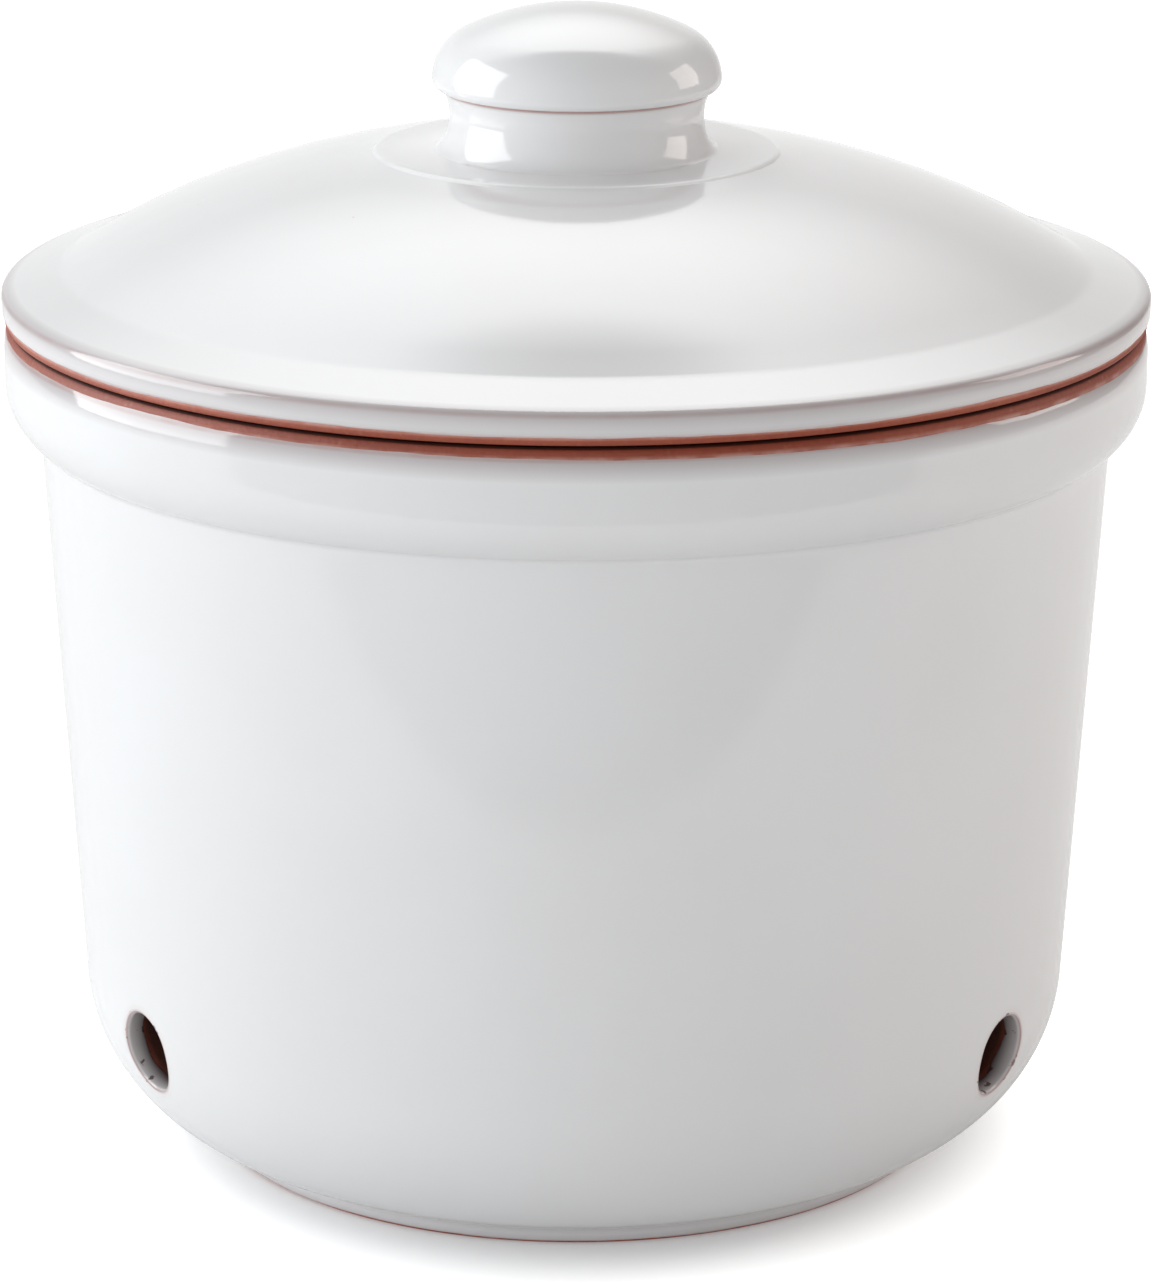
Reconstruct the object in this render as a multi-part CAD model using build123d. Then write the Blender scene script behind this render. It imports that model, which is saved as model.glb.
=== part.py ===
from build123d import *
from math import atan2, cos, hypot, sin, sqrt
import os

# A lidded clay pot for airing dry stores. Red clay carries a white glaze coat on the
# outside. The pot has a foot ring, three vents low in the wall and a rolled collar.
# The lid drops its locating ring into the mouth and carries a mushroom knob.
# Millimetres. The axis is Z, the foot stands on Z = 0 and the front of the pot faces -Y.

# Glaze
glaze_thickness = 0.5

# Pot, outside of the clay
rim_height = 178.4
wall_top_radius = 112.0
wall_taper = 9.0
base_corner_radius = 35.0
foot_inset = 24.0
foot_height = 2.9
foot_width = 7.5
foot_edge_round = 0.8
foot_bare_height = 1.2
foot_root_round = 1.5
collar_reach = 7.2
collar_height = 23.8
collar_round = 12.4
collar_root_round = 2.0
rim_outer_round = 1.9
rim_inner_round = 2.5
rim_bare_height = 2.4

# Pot, inside of the clay
wall_thickness = 7.5
base_thickness = 9.0
inner_corner_radius = 26.0

# Vents: two at the front and one at the back
vent_radius = 8.4
vent_height = 32.6
vent_front_angle = 57.8
vent_tilt = 12.0

# Lid, outside of the clay
lid_overhang = 0.3
lid_edge_height = 5.8
lid_edge_top_round = 1.7
lid_edge_low_round = 1.2
lid_bare_height = 1.9
flange_width = 12.2
flange_rise = 4.3
flange_round = 8.0
dome_radius = 168.0
pad_radius = 41.8
pad_rise = 28.1
pad_step = 0.5
pad_step_round = 0.4

# Lid, inside of the clay
lid_thickness = 7.5
locating_ring_width = 6.5
locating_ring_depth = 9.0
locating_ring_round = 2.0
locating_ring_clearance = 1.8
ceiling_round = 6.0

# Knob, outside of the clay
knob_waist_radius = 26.0
knob_waist_rise = 7.7
knob_neck_hollow = 11.5
knob_neck_rise = 5.8
knob_lip_overhang = 0.4
knob_cap_reach = 3.6
knob_cap_rise = 1.8
knob_side_round = 10.4
knob_crown_rise = 14.8

# Drawing margins
overrun = 5.0

# Heights and radii that follow from the sizes above
wall_base_radius = wall_top_radius - wall_taper
wall_top_height = rim_height - collar_height
wall_slope = wall_taper / (wall_top_height - foot_height)
foot_radius = wall_base_radius - foot_inset
collar_radius = wall_top_radius + collar_reach
lid_radius = collar_radius + lid_overhang
lid_seat_height = rim_height
lid_edge_top = lid_seat_height + lid_edge_height
flange_radius = lid_radius - flange_width
flange_height = lid_edge_top + flange_rise
pad_height = lid_edge_top + pad_rise
knob_waist_height = pad_height + knob_waist_rise
knob_neck_top = knob_waist_height + knob_neck_rise
knob_side_height = knob_neck_top + knob_cap_rise
knob_cap_radius = knob_waist_radius + knob_cap_reach
knob_top = knob_side_height + knob_crown_rise
full_radius = lid_radius + glaze_thickness


def wall_radius(height):
    """Radius of the outside of the tapered wall, produced to any height."""
    return wall_base_radius + wall_slope * (height - foot_height)


def inner_radius(height):
    """Radius of the inside of the wall at a height."""
    return wall_radius(height) - wall_thickness * hypot(1, wall_slope)


def outline(points):
    """The face inside straight runs through (radius, height) points."""
    return make_face(Polyline(*points, close=True))


def rectangle(radius_low, radius_high, height_low, height_high):
    """A rectangle of the half-section, between two radii and two heights."""
    return outline(
        [
            (radius_low, height_low),
            (radius_high, height_low),
            (radius_high, height_high),
            (radius_low, height_high),
        ]
    )


def rounded(face, radius, height, amount):
    """Round the corner of a half-section that lies nearest a (radius, height) point."""
    corner = face.vertices().sort_by_distance(Vector(radius, height))[0]
    return fillet(corner, amount)


def turned(face):
    """Turn a half-section, drawn as (radius, height), about the Z axis."""
    return revolve(Plane.XZ * face, axis=Axis.Z)


def glaze_over(clay, radius_low, height_low, height_high):
    """The half-section of the glaze on a clay half-section, out from one radius and
    between two heights."""
    skin = offset(clay, amount=glaze_thickness, kind=Kind.ARC) - clay
    zone = rectangle(radius_low, full_radius + overrun, height_low, height_high)
    return skin & zone


def collar_section():
    """The rolled collar: a plain band whose lower side curves in to the wall."""
    curl_height = sqrt(collar_round**2 - (collar_round - collar_reach) ** 2)
    curl_top = wall_top_height + curl_height
    curl = RadiusArc((wall_top_radius, wall_top_height), (collar_radius, curl_top), -collar_round)
    sides = Polyline(
        (collar_radius, curl_top),
        (collar_radius, rim_height),
        (0, rim_height),
        (0, wall_top_height),
        (wall_top_radius, wall_top_height),
    )
    return make_face(Wire([curl, *sides.edges()]))


def corner_start_radius():
    """Radius at which the rounded corner of the pot leaves the flat of its base."""
    lean = atan2(wall_slope, 1)
    return wall_base_radius - base_corner_radius * (1 - sin(lean)) / cos(lean)


def pot_hull():
    """Half-section of the pot as if it had no inside: what the glaze lies on."""
    belly = outline(
        [
            (0, foot_height),
            (wall_base_radius, foot_height),
            (wall_top_radius, wall_top_height),
            (0, wall_top_height),
        ]
    )
    belly = rounded(belly, wall_base_radius, foot_height, base_corner_radius)
    foot = rectangle(0, foot_radius, 0, foot_height + base_thickness)
    hull = belly + foot + collar_section()
    belly_rise = foot_height + base_corner_radius - sqrt(
        base_corner_radius**2 - (foot_radius - corner_start_radius()) ** 2
    )
    hull = rounded(hull, foot_radius, belly_rise, foot_root_round)
    hull = rounded(hull, wall_top_radius, wall_top_height, collar_root_round)
    hull = rounded(hull, collar_radius, rim_height, rim_outer_round)
    return rounded(hull, foot_radius, 0, foot_edge_round)


def pot_inside():
    """Half-section of the space inside the pot, with a round where wall meets floor."""
    floor_height = foot_height + base_thickness
    floor_radius = inner_radius(floor_height)
    space = outline(
        [
            (0, floor_height),
            (floor_radius, floor_height),
            (inner_radius(rim_height + overrun), rim_height + overrun),
            (0, rim_height + overrun),
        ]
    )
    return rounded(space, floor_radius, floor_height, inner_corner_radius)


def foot_recess():
    """Half-section of the shallow hollow inside the foot ring."""
    return rectangle(0, foot_radius - foot_width, -overrun, foot_height)


def vent_cutters():
    """The three round cutters, square to the rounded corner, that pierce the wall."""
    outside = wall_radius(vent_height)
    cutters = []
    for turn in (-vent_front_angle, vent_front_angle, 180):
        cutter = Cylinder(vent_radius, 4 * wall_thickness, rotation=(90, 0, 0))
        cutter = Pos(0, -outside, vent_height) * Rot(vent_tilt, 0, 0) * cutter
        cutters.append(Rot(0, 0, turn) * cutter)
    return cutters


def pierced(body):
    """A turned pot body with the vents cut through it."""
    for cutter in vent_cutters():
        body -= cutter
    return body


def pot_body():
    """The clay pot."""
    section = pot_hull() - pot_inside() - foot_recess()
    section = rounded(section, inner_radius(rim_height), rim_height, rim_inner_round)
    return pierced(turned(section))


def pot_glaze():
    """The glaze on the outside of the pot, from above the foot to below the rim."""
    glaze_top = rim_height - rim_bare_height
    section = glaze_over(pot_hull(), foot_radius, foot_bare_height, glaze_top)
    return pierced(turned(section))


def lid_hull():
    """Half-section of the lid as if it had no inside: edge, flange, dome and knob pad."""
    pad_foot = pad_height - pad_step
    dome = RadiusArc((flange_radius, flange_height), (pad_radius, pad_foot), -dome_radius)
    rest = Polyline(
        (pad_radius, pad_foot),
        (pad_radius, pad_height),
        (0, pad_height),
        (0, lid_seat_height),
        (lid_radius, lid_seat_height),
        (lid_radius, lid_edge_top),
        (flange_radius, flange_height),
    )
    hull = make_face(Wire([dome, *rest.edges()]))
    hull = rounded(hull, lid_radius, lid_seat_height, lid_edge_low_round)
    hull = rounded(hull, lid_radius, lid_edge_top, lid_edge_top_round)
    hull = rounded(hull, pad_radius, pad_height, pad_step_round)
    return rounded(hull, flange_radius, flange_height, flange_round)


def dome_centre():
    """Centre, as (radius, height), of the arc that shapes the top of the dome."""
    pad_foot = pad_height - pad_step
    run = flange_radius - pad_radius
    rise = pad_foot - flange_height
    chord = hypot(run, rise)
    drop = sqrt(dome_radius**2 - (chord / 2) ** 2)
    middle_radius = (flange_radius + pad_radius) / 2
    middle_height = (flange_height + pad_foot) / 2
    return middle_radius - drop * rise / chord, middle_height - drop * run / chord


def lid_hollow(ring_inner, hollow_bottom):
    """Half-section of the space under the lid: level under the pad, then parallel to the
    dome as far as the locating ring."""
    centre_radius, centre_height = dome_centre()
    under_radius = dome_radius - lid_thickness
    ceiling = centre_height + sqrt(under_radius**2 - (pad_radius - centre_radius) ** 2)
    hollow = Pos(centre_radius, centre_height) * Circle(under_radius)
    hollow &= rectangle(pad_radius, ring_inner, hollow_bottom, ceiling)
    return hollow + rectangle(0, pad_radius, hollow_bottom, ceiling)


def lid_body():
    """The clay lid: dome, flange and pad, with the locating ring under them."""
    ring_outer = inner_radius(rim_height) - locating_ring_clearance
    ring_inner = ring_outer - locating_ring_width
    ring_bottom = lid_seat_height - locating_ring_depth
    ring = rectangle(ring_inner, ring_outer, ring_bottom, lid_edge_top)
    section = lid_hull() + ring - lid_hollow(ring_inner, ring_bottom - overrun)
    section = rounded(section, ring_inner, lid_edge_top, ceiling_round)
    section = rounded(section, ring_outer, ring_bottom, locating_ring_round)
    section = rounded(section, ring_inner, ring_bottom, locating_ring_round)
    return turned(section)


def knob_foot_radius():
    """Radius at which the hollow of the knob's neck meets the pad."""
    return knob_waist_radius + knob_neck_hollow - sqrt(knob_neck_hollow**2 - knob_waist_rise**2)


def lid_glaze():
    """The glaze on the top of the lid, from the knob's neck to the bare lower edge."""
    glaze_low = lid_seat_height + lid_bare_height
    section = glaze_over(lid_hull(), knob_foot_radius(), glaze_low, knob_top)
    return turned(section)


def knob_neck_top_radius():
    """Radius at which the hollow of the knob's neck meets the underside of the cap."""
    return knob_waist_radius + knob_neck_hollow - sqrt(knob_neck_hollow**2 - knob_neck_rise**2)


def knob_hull():
    """Half-section of the knob: hollow neck, sharp lip, round side and flatter crown."""
    lip_radius = knob_neck_top_radius() + knob_lip_overhang
    waist = (knob_waist_radius, knob_waist_height)
    side_radius = knob_cap_radius - knob_side_round
    crown_round = (side_radius**2 + knob_crown_rise**2 - knob_side_round**2) / (
        2 * (knob_crown_rise - knob_side_round)
    )
    crown_centre = knob_top - crown_round
    turn = atan2(knob_side_height - crown_centre, side_radius)
    shoulder = (crown_round * cos(turn), crown_centre + crown_round * sin(turn))
    equator = (knob_cap_radius, knob_side_height)
    lip_reach = knob_cap_radius - lip_radius
    lip_round = (lip_reach**2 + knob_cap_rise**2) / (2 * lip_reach)
    neck = ThreePointArc(
        (knob_foot_radius(), pad_height), waist, (knob_neck_top_radius(), knob_neck_top)
    )
    lip = RadiusArc((lip_radius, knob_neck_top), equator, -lip_round)
    side = RadiusArc(equator, shoulder, -knob_side_round)
    top = RadiusArc(shoulder, (0, knob_top), -crown_round)
    ledge = Line((knob_neck_top_radius(), knob_neck_top), (lip_radius, knob_neck_top))
    axis = Polyline((0, knob_top), (0, pad_height), (knob_foot_radius(), pad_height))
    return make_face(Wire([neck, ledge, lip, side, top, *axis.edges()]))


def lid_knob():
    """The clay knob, luted to the lid's pad."""
    return turned(knob_hull())


def knob_glaze():
    """The glaze on the knob, which starts on top of the lid's own glaze."""
    section = glaze_over(knob_hull(), 0, pad_height + glaze_thickness, knob_top + overrun)
    return turned(section)


def main():
    """Build each node and write it to its own STEP file."""
    os.makedirs("parts", exist_ok=True)
    nodes = {
        "pot_body": pot_body(),
        "pot_glaze": pot_glaze(),
        "lid_body": lid_body(),
        "lid_glaze": lid_glaze(),
        "lid_knob": lid_knob(),
        "knob_glaze": knob_glaze(),
    }
    for name, solid in nodes.items():
        export_step(solid, f"parts/{name}.step")
        box = solid.bounding_box()
        print(f"{name}: volume {solid.volume:.0f} mm3, z {box.min.Z:.2f} to {box.max.Z:.2f}")


main()
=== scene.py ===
"""Dresses the packed clay storage pot: glaze coats, bare clay, studio light, floor and camera."""

import logging
import math
from dataclasses import dataclass, field
from enum import Enum
from typing import Callable

import bmesh
import bpy
from mathutils import Matrix, Vector, noise


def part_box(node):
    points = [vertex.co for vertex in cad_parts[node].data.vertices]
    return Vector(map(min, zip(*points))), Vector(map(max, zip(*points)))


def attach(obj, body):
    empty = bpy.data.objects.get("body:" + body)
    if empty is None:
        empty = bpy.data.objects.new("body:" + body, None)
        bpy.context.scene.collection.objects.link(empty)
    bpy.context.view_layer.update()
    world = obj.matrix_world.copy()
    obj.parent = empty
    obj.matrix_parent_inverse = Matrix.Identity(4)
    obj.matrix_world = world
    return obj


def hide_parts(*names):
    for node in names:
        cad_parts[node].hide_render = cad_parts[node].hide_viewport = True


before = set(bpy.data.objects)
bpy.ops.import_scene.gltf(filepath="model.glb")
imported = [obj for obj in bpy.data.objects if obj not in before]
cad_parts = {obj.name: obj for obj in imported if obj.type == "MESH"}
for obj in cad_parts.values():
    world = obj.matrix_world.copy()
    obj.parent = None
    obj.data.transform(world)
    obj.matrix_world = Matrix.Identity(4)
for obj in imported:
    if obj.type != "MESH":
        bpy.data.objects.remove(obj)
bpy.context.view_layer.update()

log = logging.getLogger("pot")

MM = 0.001
MM_PER_METRE = 1000.0

# Longest steps between rows of points, in millimetres, and how finely arcs and lips are cut.
FINE_ROWS = 1.0
RIM_ROWS = 1.6
PLAIN_ROWS = 2.4
DOME_ROWS = 4.0
HIDDEN_ROWS = 6.0
ARC_STEP = 1.2
SMALLEST_TURN = math.radians(2.5)
LARGEST_TURN = math.radians(13.0)
LIP_ROWS = (0.02, 0.08, 0.18, 0.32, 0.5, 0.72, 1.0)
LIP_STEPS = 6
SLICES = 12

MERGE_DISTANCE = 0.002
HALVINGS = 30
WAVE_GAIN = 1.6
NODE_STEP = 180
NODE_ROWS = 5
NODE_DROP = 160

Colour = tuple[float, float, float, float]
Mesh = bmesh.types.BMesh
Edges = list[bmesh.types.BMEdge]
Piece = bpy.types.Object
Material = bpy.types.Material
Node = bpy.types.Node
Socket = bpy.types.NodeSocket
NodeTree = bpy.types.NodeTree
Groups = dict[str, NodeTree]
Rings = list[tuple[float, float]]
RadiusAt = Callable[[float], float]


class Body(Enum):
    """The two parts that move apart."""

    POT = "pot"
    LID = "lid"


@dataclass(frozen=True)
class CoatEdge:
    """How a glaze coat thins out at one end: a gentle lean, then a round lip.

    The lip and the lean are lengths in millimetres from the edge. The lean takes away a
    share of the thickness at the edge itself.
    """

    lip: float = 0.0
    lean: float = 0.0
    lean_share: float = 0.0

    def share(self, run: float) -> float:
        """Find how thick the coat is near its edge.

        Args:
            run: Distance from the edge, in millimetres.

        Returns:
            Share of the coat's full thickness.
        """
        full = 1.0
        if run < self.lean:
            full -= self.lean_share * (1 - run / self.lean) ** 2
        if run < self.lip:
            full *= math.sqrt(1 - (1 - run / self.lip) ** 2)
        return full


@dataclass
class Outline:
    """A half-section drawn with a pen, as (radius, height) points in millimetres.

    It is drawn with the clay on the left of the pen, so that its right is the open air.
    """

    points: list[Vector]
    row_gap: float = PLAIN_ROWS

    @classmethod
    def start(cls, radius: float, height: float, row_gap: float = PLAIN_ROWS) -> "Outline":
        """Put the pen down at a point.

        Args:
            radius: Distance from the pot's axis.
            height: Height above the table.
            row_gap: Longest step between points on a straight stretch.

        Returns:
            An outline of one point.
        """
        return cls([Vector((radius, height))], row_gap)

    def line(self, radius: float, height: float, soften: float = 0.0) -> "Outline":
        """Draw a straight stretch.

        Args:
            radius: Radius at its end.
            height: Height at its end.
            soften: Radius of the round at the corner where it starts.

        Returns:
            The same outline.
        """
        start = self.points[-1]
        end = Vector((radius, height))
        count = max(1, math.ceil((end - start).length / self.row_gap))
        return self._add([start.lerp(end, i / count) for i in range(count + 1)], soften)

    def arc(self, radius: float, height: float, bend: float, soften: float = 0.0) -> "Outline":
        """Draw an arc of less than half a turn.

        Args:
            radius: Radius at its end.
            height: Height at its end.
            bend: Radius of the arc, above zero where it turns left and below where right.
            soften: Radius of the round at the corner where it starts.

        Returns:
            The same outline.
        """
        start = self.points[-1]
        end = Vector((radius, height))
        half = (end - start) / 2
        left = Vector((-half.y, half.x)).normalized()
        lift = math.sqrt(max(0.0, bend * bend - half.length_squared))
        centre = start + half + left * math.copysign(lift, bend)
        turn = math.copysign(2 * math.asin(min(1.0, half.length / abs(bend))), bend)
        return self._add(arc_points(start, centre, turn), soften)

    def _add(self, stretch: list[Vector], soften: float) -> "Outline":
        """Add a stretch, rounding the corner where it starts.

        Args:
            stretch: Points of the stretch, from where the pen stands.
            soften: Radius of the round, or 0 for a sharp corner.

        Returns:
            The same outline.
        """
        if not soften:
            self.points += stretch[1:]
            return self
        last = self.points[-1] - self.points[-2]
        first = stretch[1] - stretch[0]
        side = math.copysign(1.0, last.x * first.y - last.y * first.x)
        for i in range(len(self.points) - 1, 0, -1):
            touch = touching_point(self.points[i - 1], self.points[i], side * soften, stretch)
            if touch is not None:
                break
        else:
            raise ValueError(f"a round of {soften} mm is too large for its corner")
        centre = touch + side * soften * left_of(self.points[i] - self.points[i - 1])
        seat, rest = nearest_on(stretch, centre)
        turn = math.asin(max(-1.0, min(1.0, cross(touch - centre, seat - centre) / soften**2)))
        if (touch - centre).dot(seat - centre) < 0:
            turn = math.copysign(math.pi, turn) - turn
        self.points[i:] = arc_points(touch, centre, turn)[:-1] + [seat] + stretch[rest:]
        return self

    def moved_out(self, distance: float) -> "Outline":
        """Copy the outline a fixed distance to its right.

        Args:
            distance: How far, with less than 0 for the left.

        Returns:
            The copy.
        """
        moved = []
        last = len(self.points) - 1
        for i, point in enumerate(self.points):
            along = self.points[min(i + 1, last)] - self.points[max(i - 1, 0)]
            moved.append(point - distance * left_of(along))
        return Outline(moved, self.row_gap)

    def coated(self, thickness: float, sunk: float, first: CoatEdge, last: CoatEdge) -> "Outline":
        """The closed section of a glaze coat that lies on this outline.

        Args:
            thickness: How far the coat stands out.
            sunk: How far its hidden back lies inside the clay.
            first: How it thins out where the outline starts.
            last: How it thins out where the outline ends.

        Returns:
            A closed outline, without its first point repeated.
        """
        path = self._with_edge_rows(first.lip)
        path.points.reverse()
        path = path._with_edge_rows(last.lip)
        path.points.reverse()
        lengths = [0.0]
        for a, b in zip(path.points, path.points[1:]):
            lengths.append(lengths[-1] + (b - a).length)
        front = []
        for point, unit, run in zip(path.points, path.moved_out(1.0).points, lengths):
            share = first.share(run) * last.share(lengths[-1] - run)
            front.append(point + (unit - point) * thickness * share)
        back = path.moved_out(-sunk).points
        return Outline(front + back[::-1], self.row_gap)

    def _with_edge_rows(self, lip: float) -> "Outline":
        """Copy the outline with extra points close to its start, for a round lip there.

        Args:
            lip: Length of the lip.

        Returns:
            The copy.
        """
        points = list(self.points)
        while len(points) > 2 and (points[1] - points[0]).length < lip:
            points.pop(1)
        along = (points[1] - points[0]).normalized()
        points[1:1] = [points[0] + along * lip * share for share in LIP_ROWS]
        return Outline(points, self.row_gap)


def cross(a: Vector, b: Vector) -> float:
    """Cross product of two flat vectors."""
    return a.x * b.y - a.y * b.x


def left_of(along: Vector) -> Vector:
    """Unit vector to the left of a direction."""
    return Vector((-along.y, along.x)).normalized()


def arc_points(start: Vector, centre: Vector, turn: float) -> list[Vector]:
    """Place points on an arc.

    Args:
        start: Its first point.
        centre: Its centre.
        turn: The angle that it turns through, above zero to the left.

    Returns:
        The points, with both ends.
    """
    spoke = start - centre
    step = min(LARGEST_TURN, max(SMALLEST_TURN, ARC_STEP / spoke.length))
    count = max(2, math.ceil(abs(turn) / step))
    return [centre + Matrix.Rotation(turn * i / count, 2) @ spoke for i in range(count + 1)]


def nearest_on(path: list[Vector], target: Vector) -> tuple[Vector, int]:
    """Find the point of a path nearest a target.

    Args:
        path: Points of the path.
        target: The point to be near.

    Returns:
        The nearest point, and the index of the path point after it.
    """
    best = (math.inf, path[0], 1)
    for i, (a, b) in enumerate(zip(path, path[1:])):
        along = b - a
        share = max(0.0, min(1.0, (target - a).dot(along) / along.length_squared))
        point = a + along * share
        best = min(best, ((target - point).length, point, i + 1), key=lambda found: found[0])
    return best[1], best[2]


def touching_point(a: Vector, b: Vector, reach: float, path: list[Vector]) -> Vector | None:
    """Find where a circle rolled along a segment touches another path.

    Args:
        a: First point of the segment.
        b: Last point of the segment.
        reach: Radius of the circle, above zero on the segment's left.
        path: Points of the other path.

    Returns:
        Where on the segment the circle sits, or None if the segment starts too close.
    """

    def clearance(share: float) -> float:
        """Gap between circle and path with the circle at a share of the segment."""
        centre = a.lerp(b, share) + reach * left_of(b - a)
        return (nearest_on(path, centre)[0] - centre).length - abs(reach)

    if clearance(0.0) < 0:
        return None
    low, high = 0.0, 1.0
    for _ in range(HALVINGS):
        middle = (low + high) / 2
        if clearance(middle) > 0:
            low = middle
        else:
            high = middle
    return a.lerp(b, low)


@dataclass
class Lathe:
    """Turns a half-section about the pot's axis, a sector at a time or all round."""

    outline: Outline
    closed: bool
    steps: int

    def sector(self, start: float, end: float) -> Mesh:
        """Turn the section from one angle to another.

        Args:
            start: First angle in degrees, from the front towards the right.
            end: Last angle in degrees.

        Returns:
            A mesh in metres, open at both angles.
        """
        mesh = bmesh.new()
        facing = Matrix.Rotation(math.radians(start), 3, "Z")
        verts = [
            mesh.verts.new(facing @ Vector((0.0, -point.x, point.y)) * MM)
            for point in self.outline.points
        ]
        pairs = list(zip(verts, verts[1:]))
        if self.closed:
            pairs.append((verts[-1], verts[0]))
        edges = [mesh.edges.new(pair) for pair in pairs]
        bmesh.ops.spin(
            mesh, geom=verts + edges, cent=(0, 0, 0), axis=(0, 0, 1),
            angle=math.radians(end - start), steps=max(1, round(self.steps * (end - start) / 360)),
        )
        return mesh

    def whole(self) -> Mesh:
        """Turn the section all the way round, as equal slices.

        Returns:
            A closed mesh in metres.
        """
        mesh = self.sector(0.0, 360 / SLICES)
        bmesh.ops.spin(
            mesh, geom=mesh.verts[:] + mesh.edges[:] + mesh.faces[:], cent=(0, 0, 0),
            axis=(0, 0, 1), angle=math.tau * (SLICES - 1) / SLICES, steps=SLICES - 1,
            use_duplicate=True,
        )
        return sealed(mesh)


def sealed(mesh: Mesh) -> Mesh:
    """Close the seams and poles of a turned mesh and face it outwards.

    Args:
        mesh: The turned mesh, in metres.

    Returns:
        The same mesh.
    """
    bmesh.ops.remove_doubles(mesh, verts=mesh.verts, dist=MERGE_DISTANCE * MM)
    loose = [edge for edge in mesh.edges if not edge.link_faces]
    bmesh.ops.delete(mesh, geom=loose, context="EDGES")
    bmesh.ops.recalc_face_normals(mesh, faces=mesh.faces)
    return mesh


def joined(parts: list[Mesh]) -> Mesh:
    """Join the sectors of a turned form.

    Args:
        parts: The sectors, which are used up.

    Returns:
        One closed mesh.
    """
    whole = bmesh.new()
    for part in parts:
        data = bpy.data.meshes.new("sector")
        part.to_mesh(data)
        part.free()
        whole.from_mesh(data)
        bpy.data.meshes.remove(data)
    return sealed(whole)


def finished_piece(
    name: str, mesh: Mesh, material: Material, body: Body, node: str
) -> Piece:
    """Turn a mesh into a piece of the pot that stands for a CAD node.

    Args:
        name: Name of the new piece.
        mesh: Its finished mesh, in place.
        material: Its finish.
        body: The body that it moves with.
        node: The CAD node that it stands for.

    Returns:
        The new object.
    """
    bmesh.ops.recalc_face_normals(mesh, faces=mesh.faces)
    for face in mesh.faces:
        face.smooth = True
    data = bpy.data.meshes.new(name)
    mesh.to_mesh(data)
    mesh.free()
    data.materials.append(material)
    piece = bpy.data.objects.new(name, data)
    bpy.context.scene.collection.objects.link(piece)
    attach(piece, body.value)
    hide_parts(node)
    log.info("%s: %d faces, on %s", name, len(data.polygons), body.value)
    return piece


def wave(angle: float, lobes: float, seed: float) -> float:
    """A smooth wander between about -1 and 1 that closes on itself round the pot."""
    place = Vector((math.cos(angle) * lobes, math.sin(angle) * lobes, seed))
    return noise.noise(place) * WAVE_GAIN


@dataclass(frozen=True)
class Wander:
    """How far the edge of a glaze coat runs up and down on its way round.

    It moves rows within a reach of its height by an amount, all in millimetres. The seed
    picks the wave, and the lean sets the edge lower on the right than on the left.
    """

    height: float
    reach: float
    amount: float
    seed: float
    lean: float = 0.0
    slow_lobes: float = 5.0
    quick_lobes: float = 24.0
    quick_share: float = 0.35
    quick_seed: float = 9.0

    def apply(self, mesh: Mesh) -> None:
        """Shift the rows near the edge, in step with a wave round the pot.

        Args:
            mesh: The glaze coat, in metres.
        """
        for vert in mesh.verts:
            share = 1 - abs(vert.co.z / MM - self.height) / self.reach
            if share > 0:
                angle = math.atan2(vert.co.y, vert.co.x)
                slow = wave(angle, self.slow_lobes, self.seed) * (1 - self.quick_share)
                quick = wave(angle, self.quick_lobes, self.seed + self.quick_seed)
                rise = (slow + quick * self.quick_share) * self.amount
                rise -= math.cos(angle) * self.lean
                vert.co.z += rise * share * MM


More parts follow.
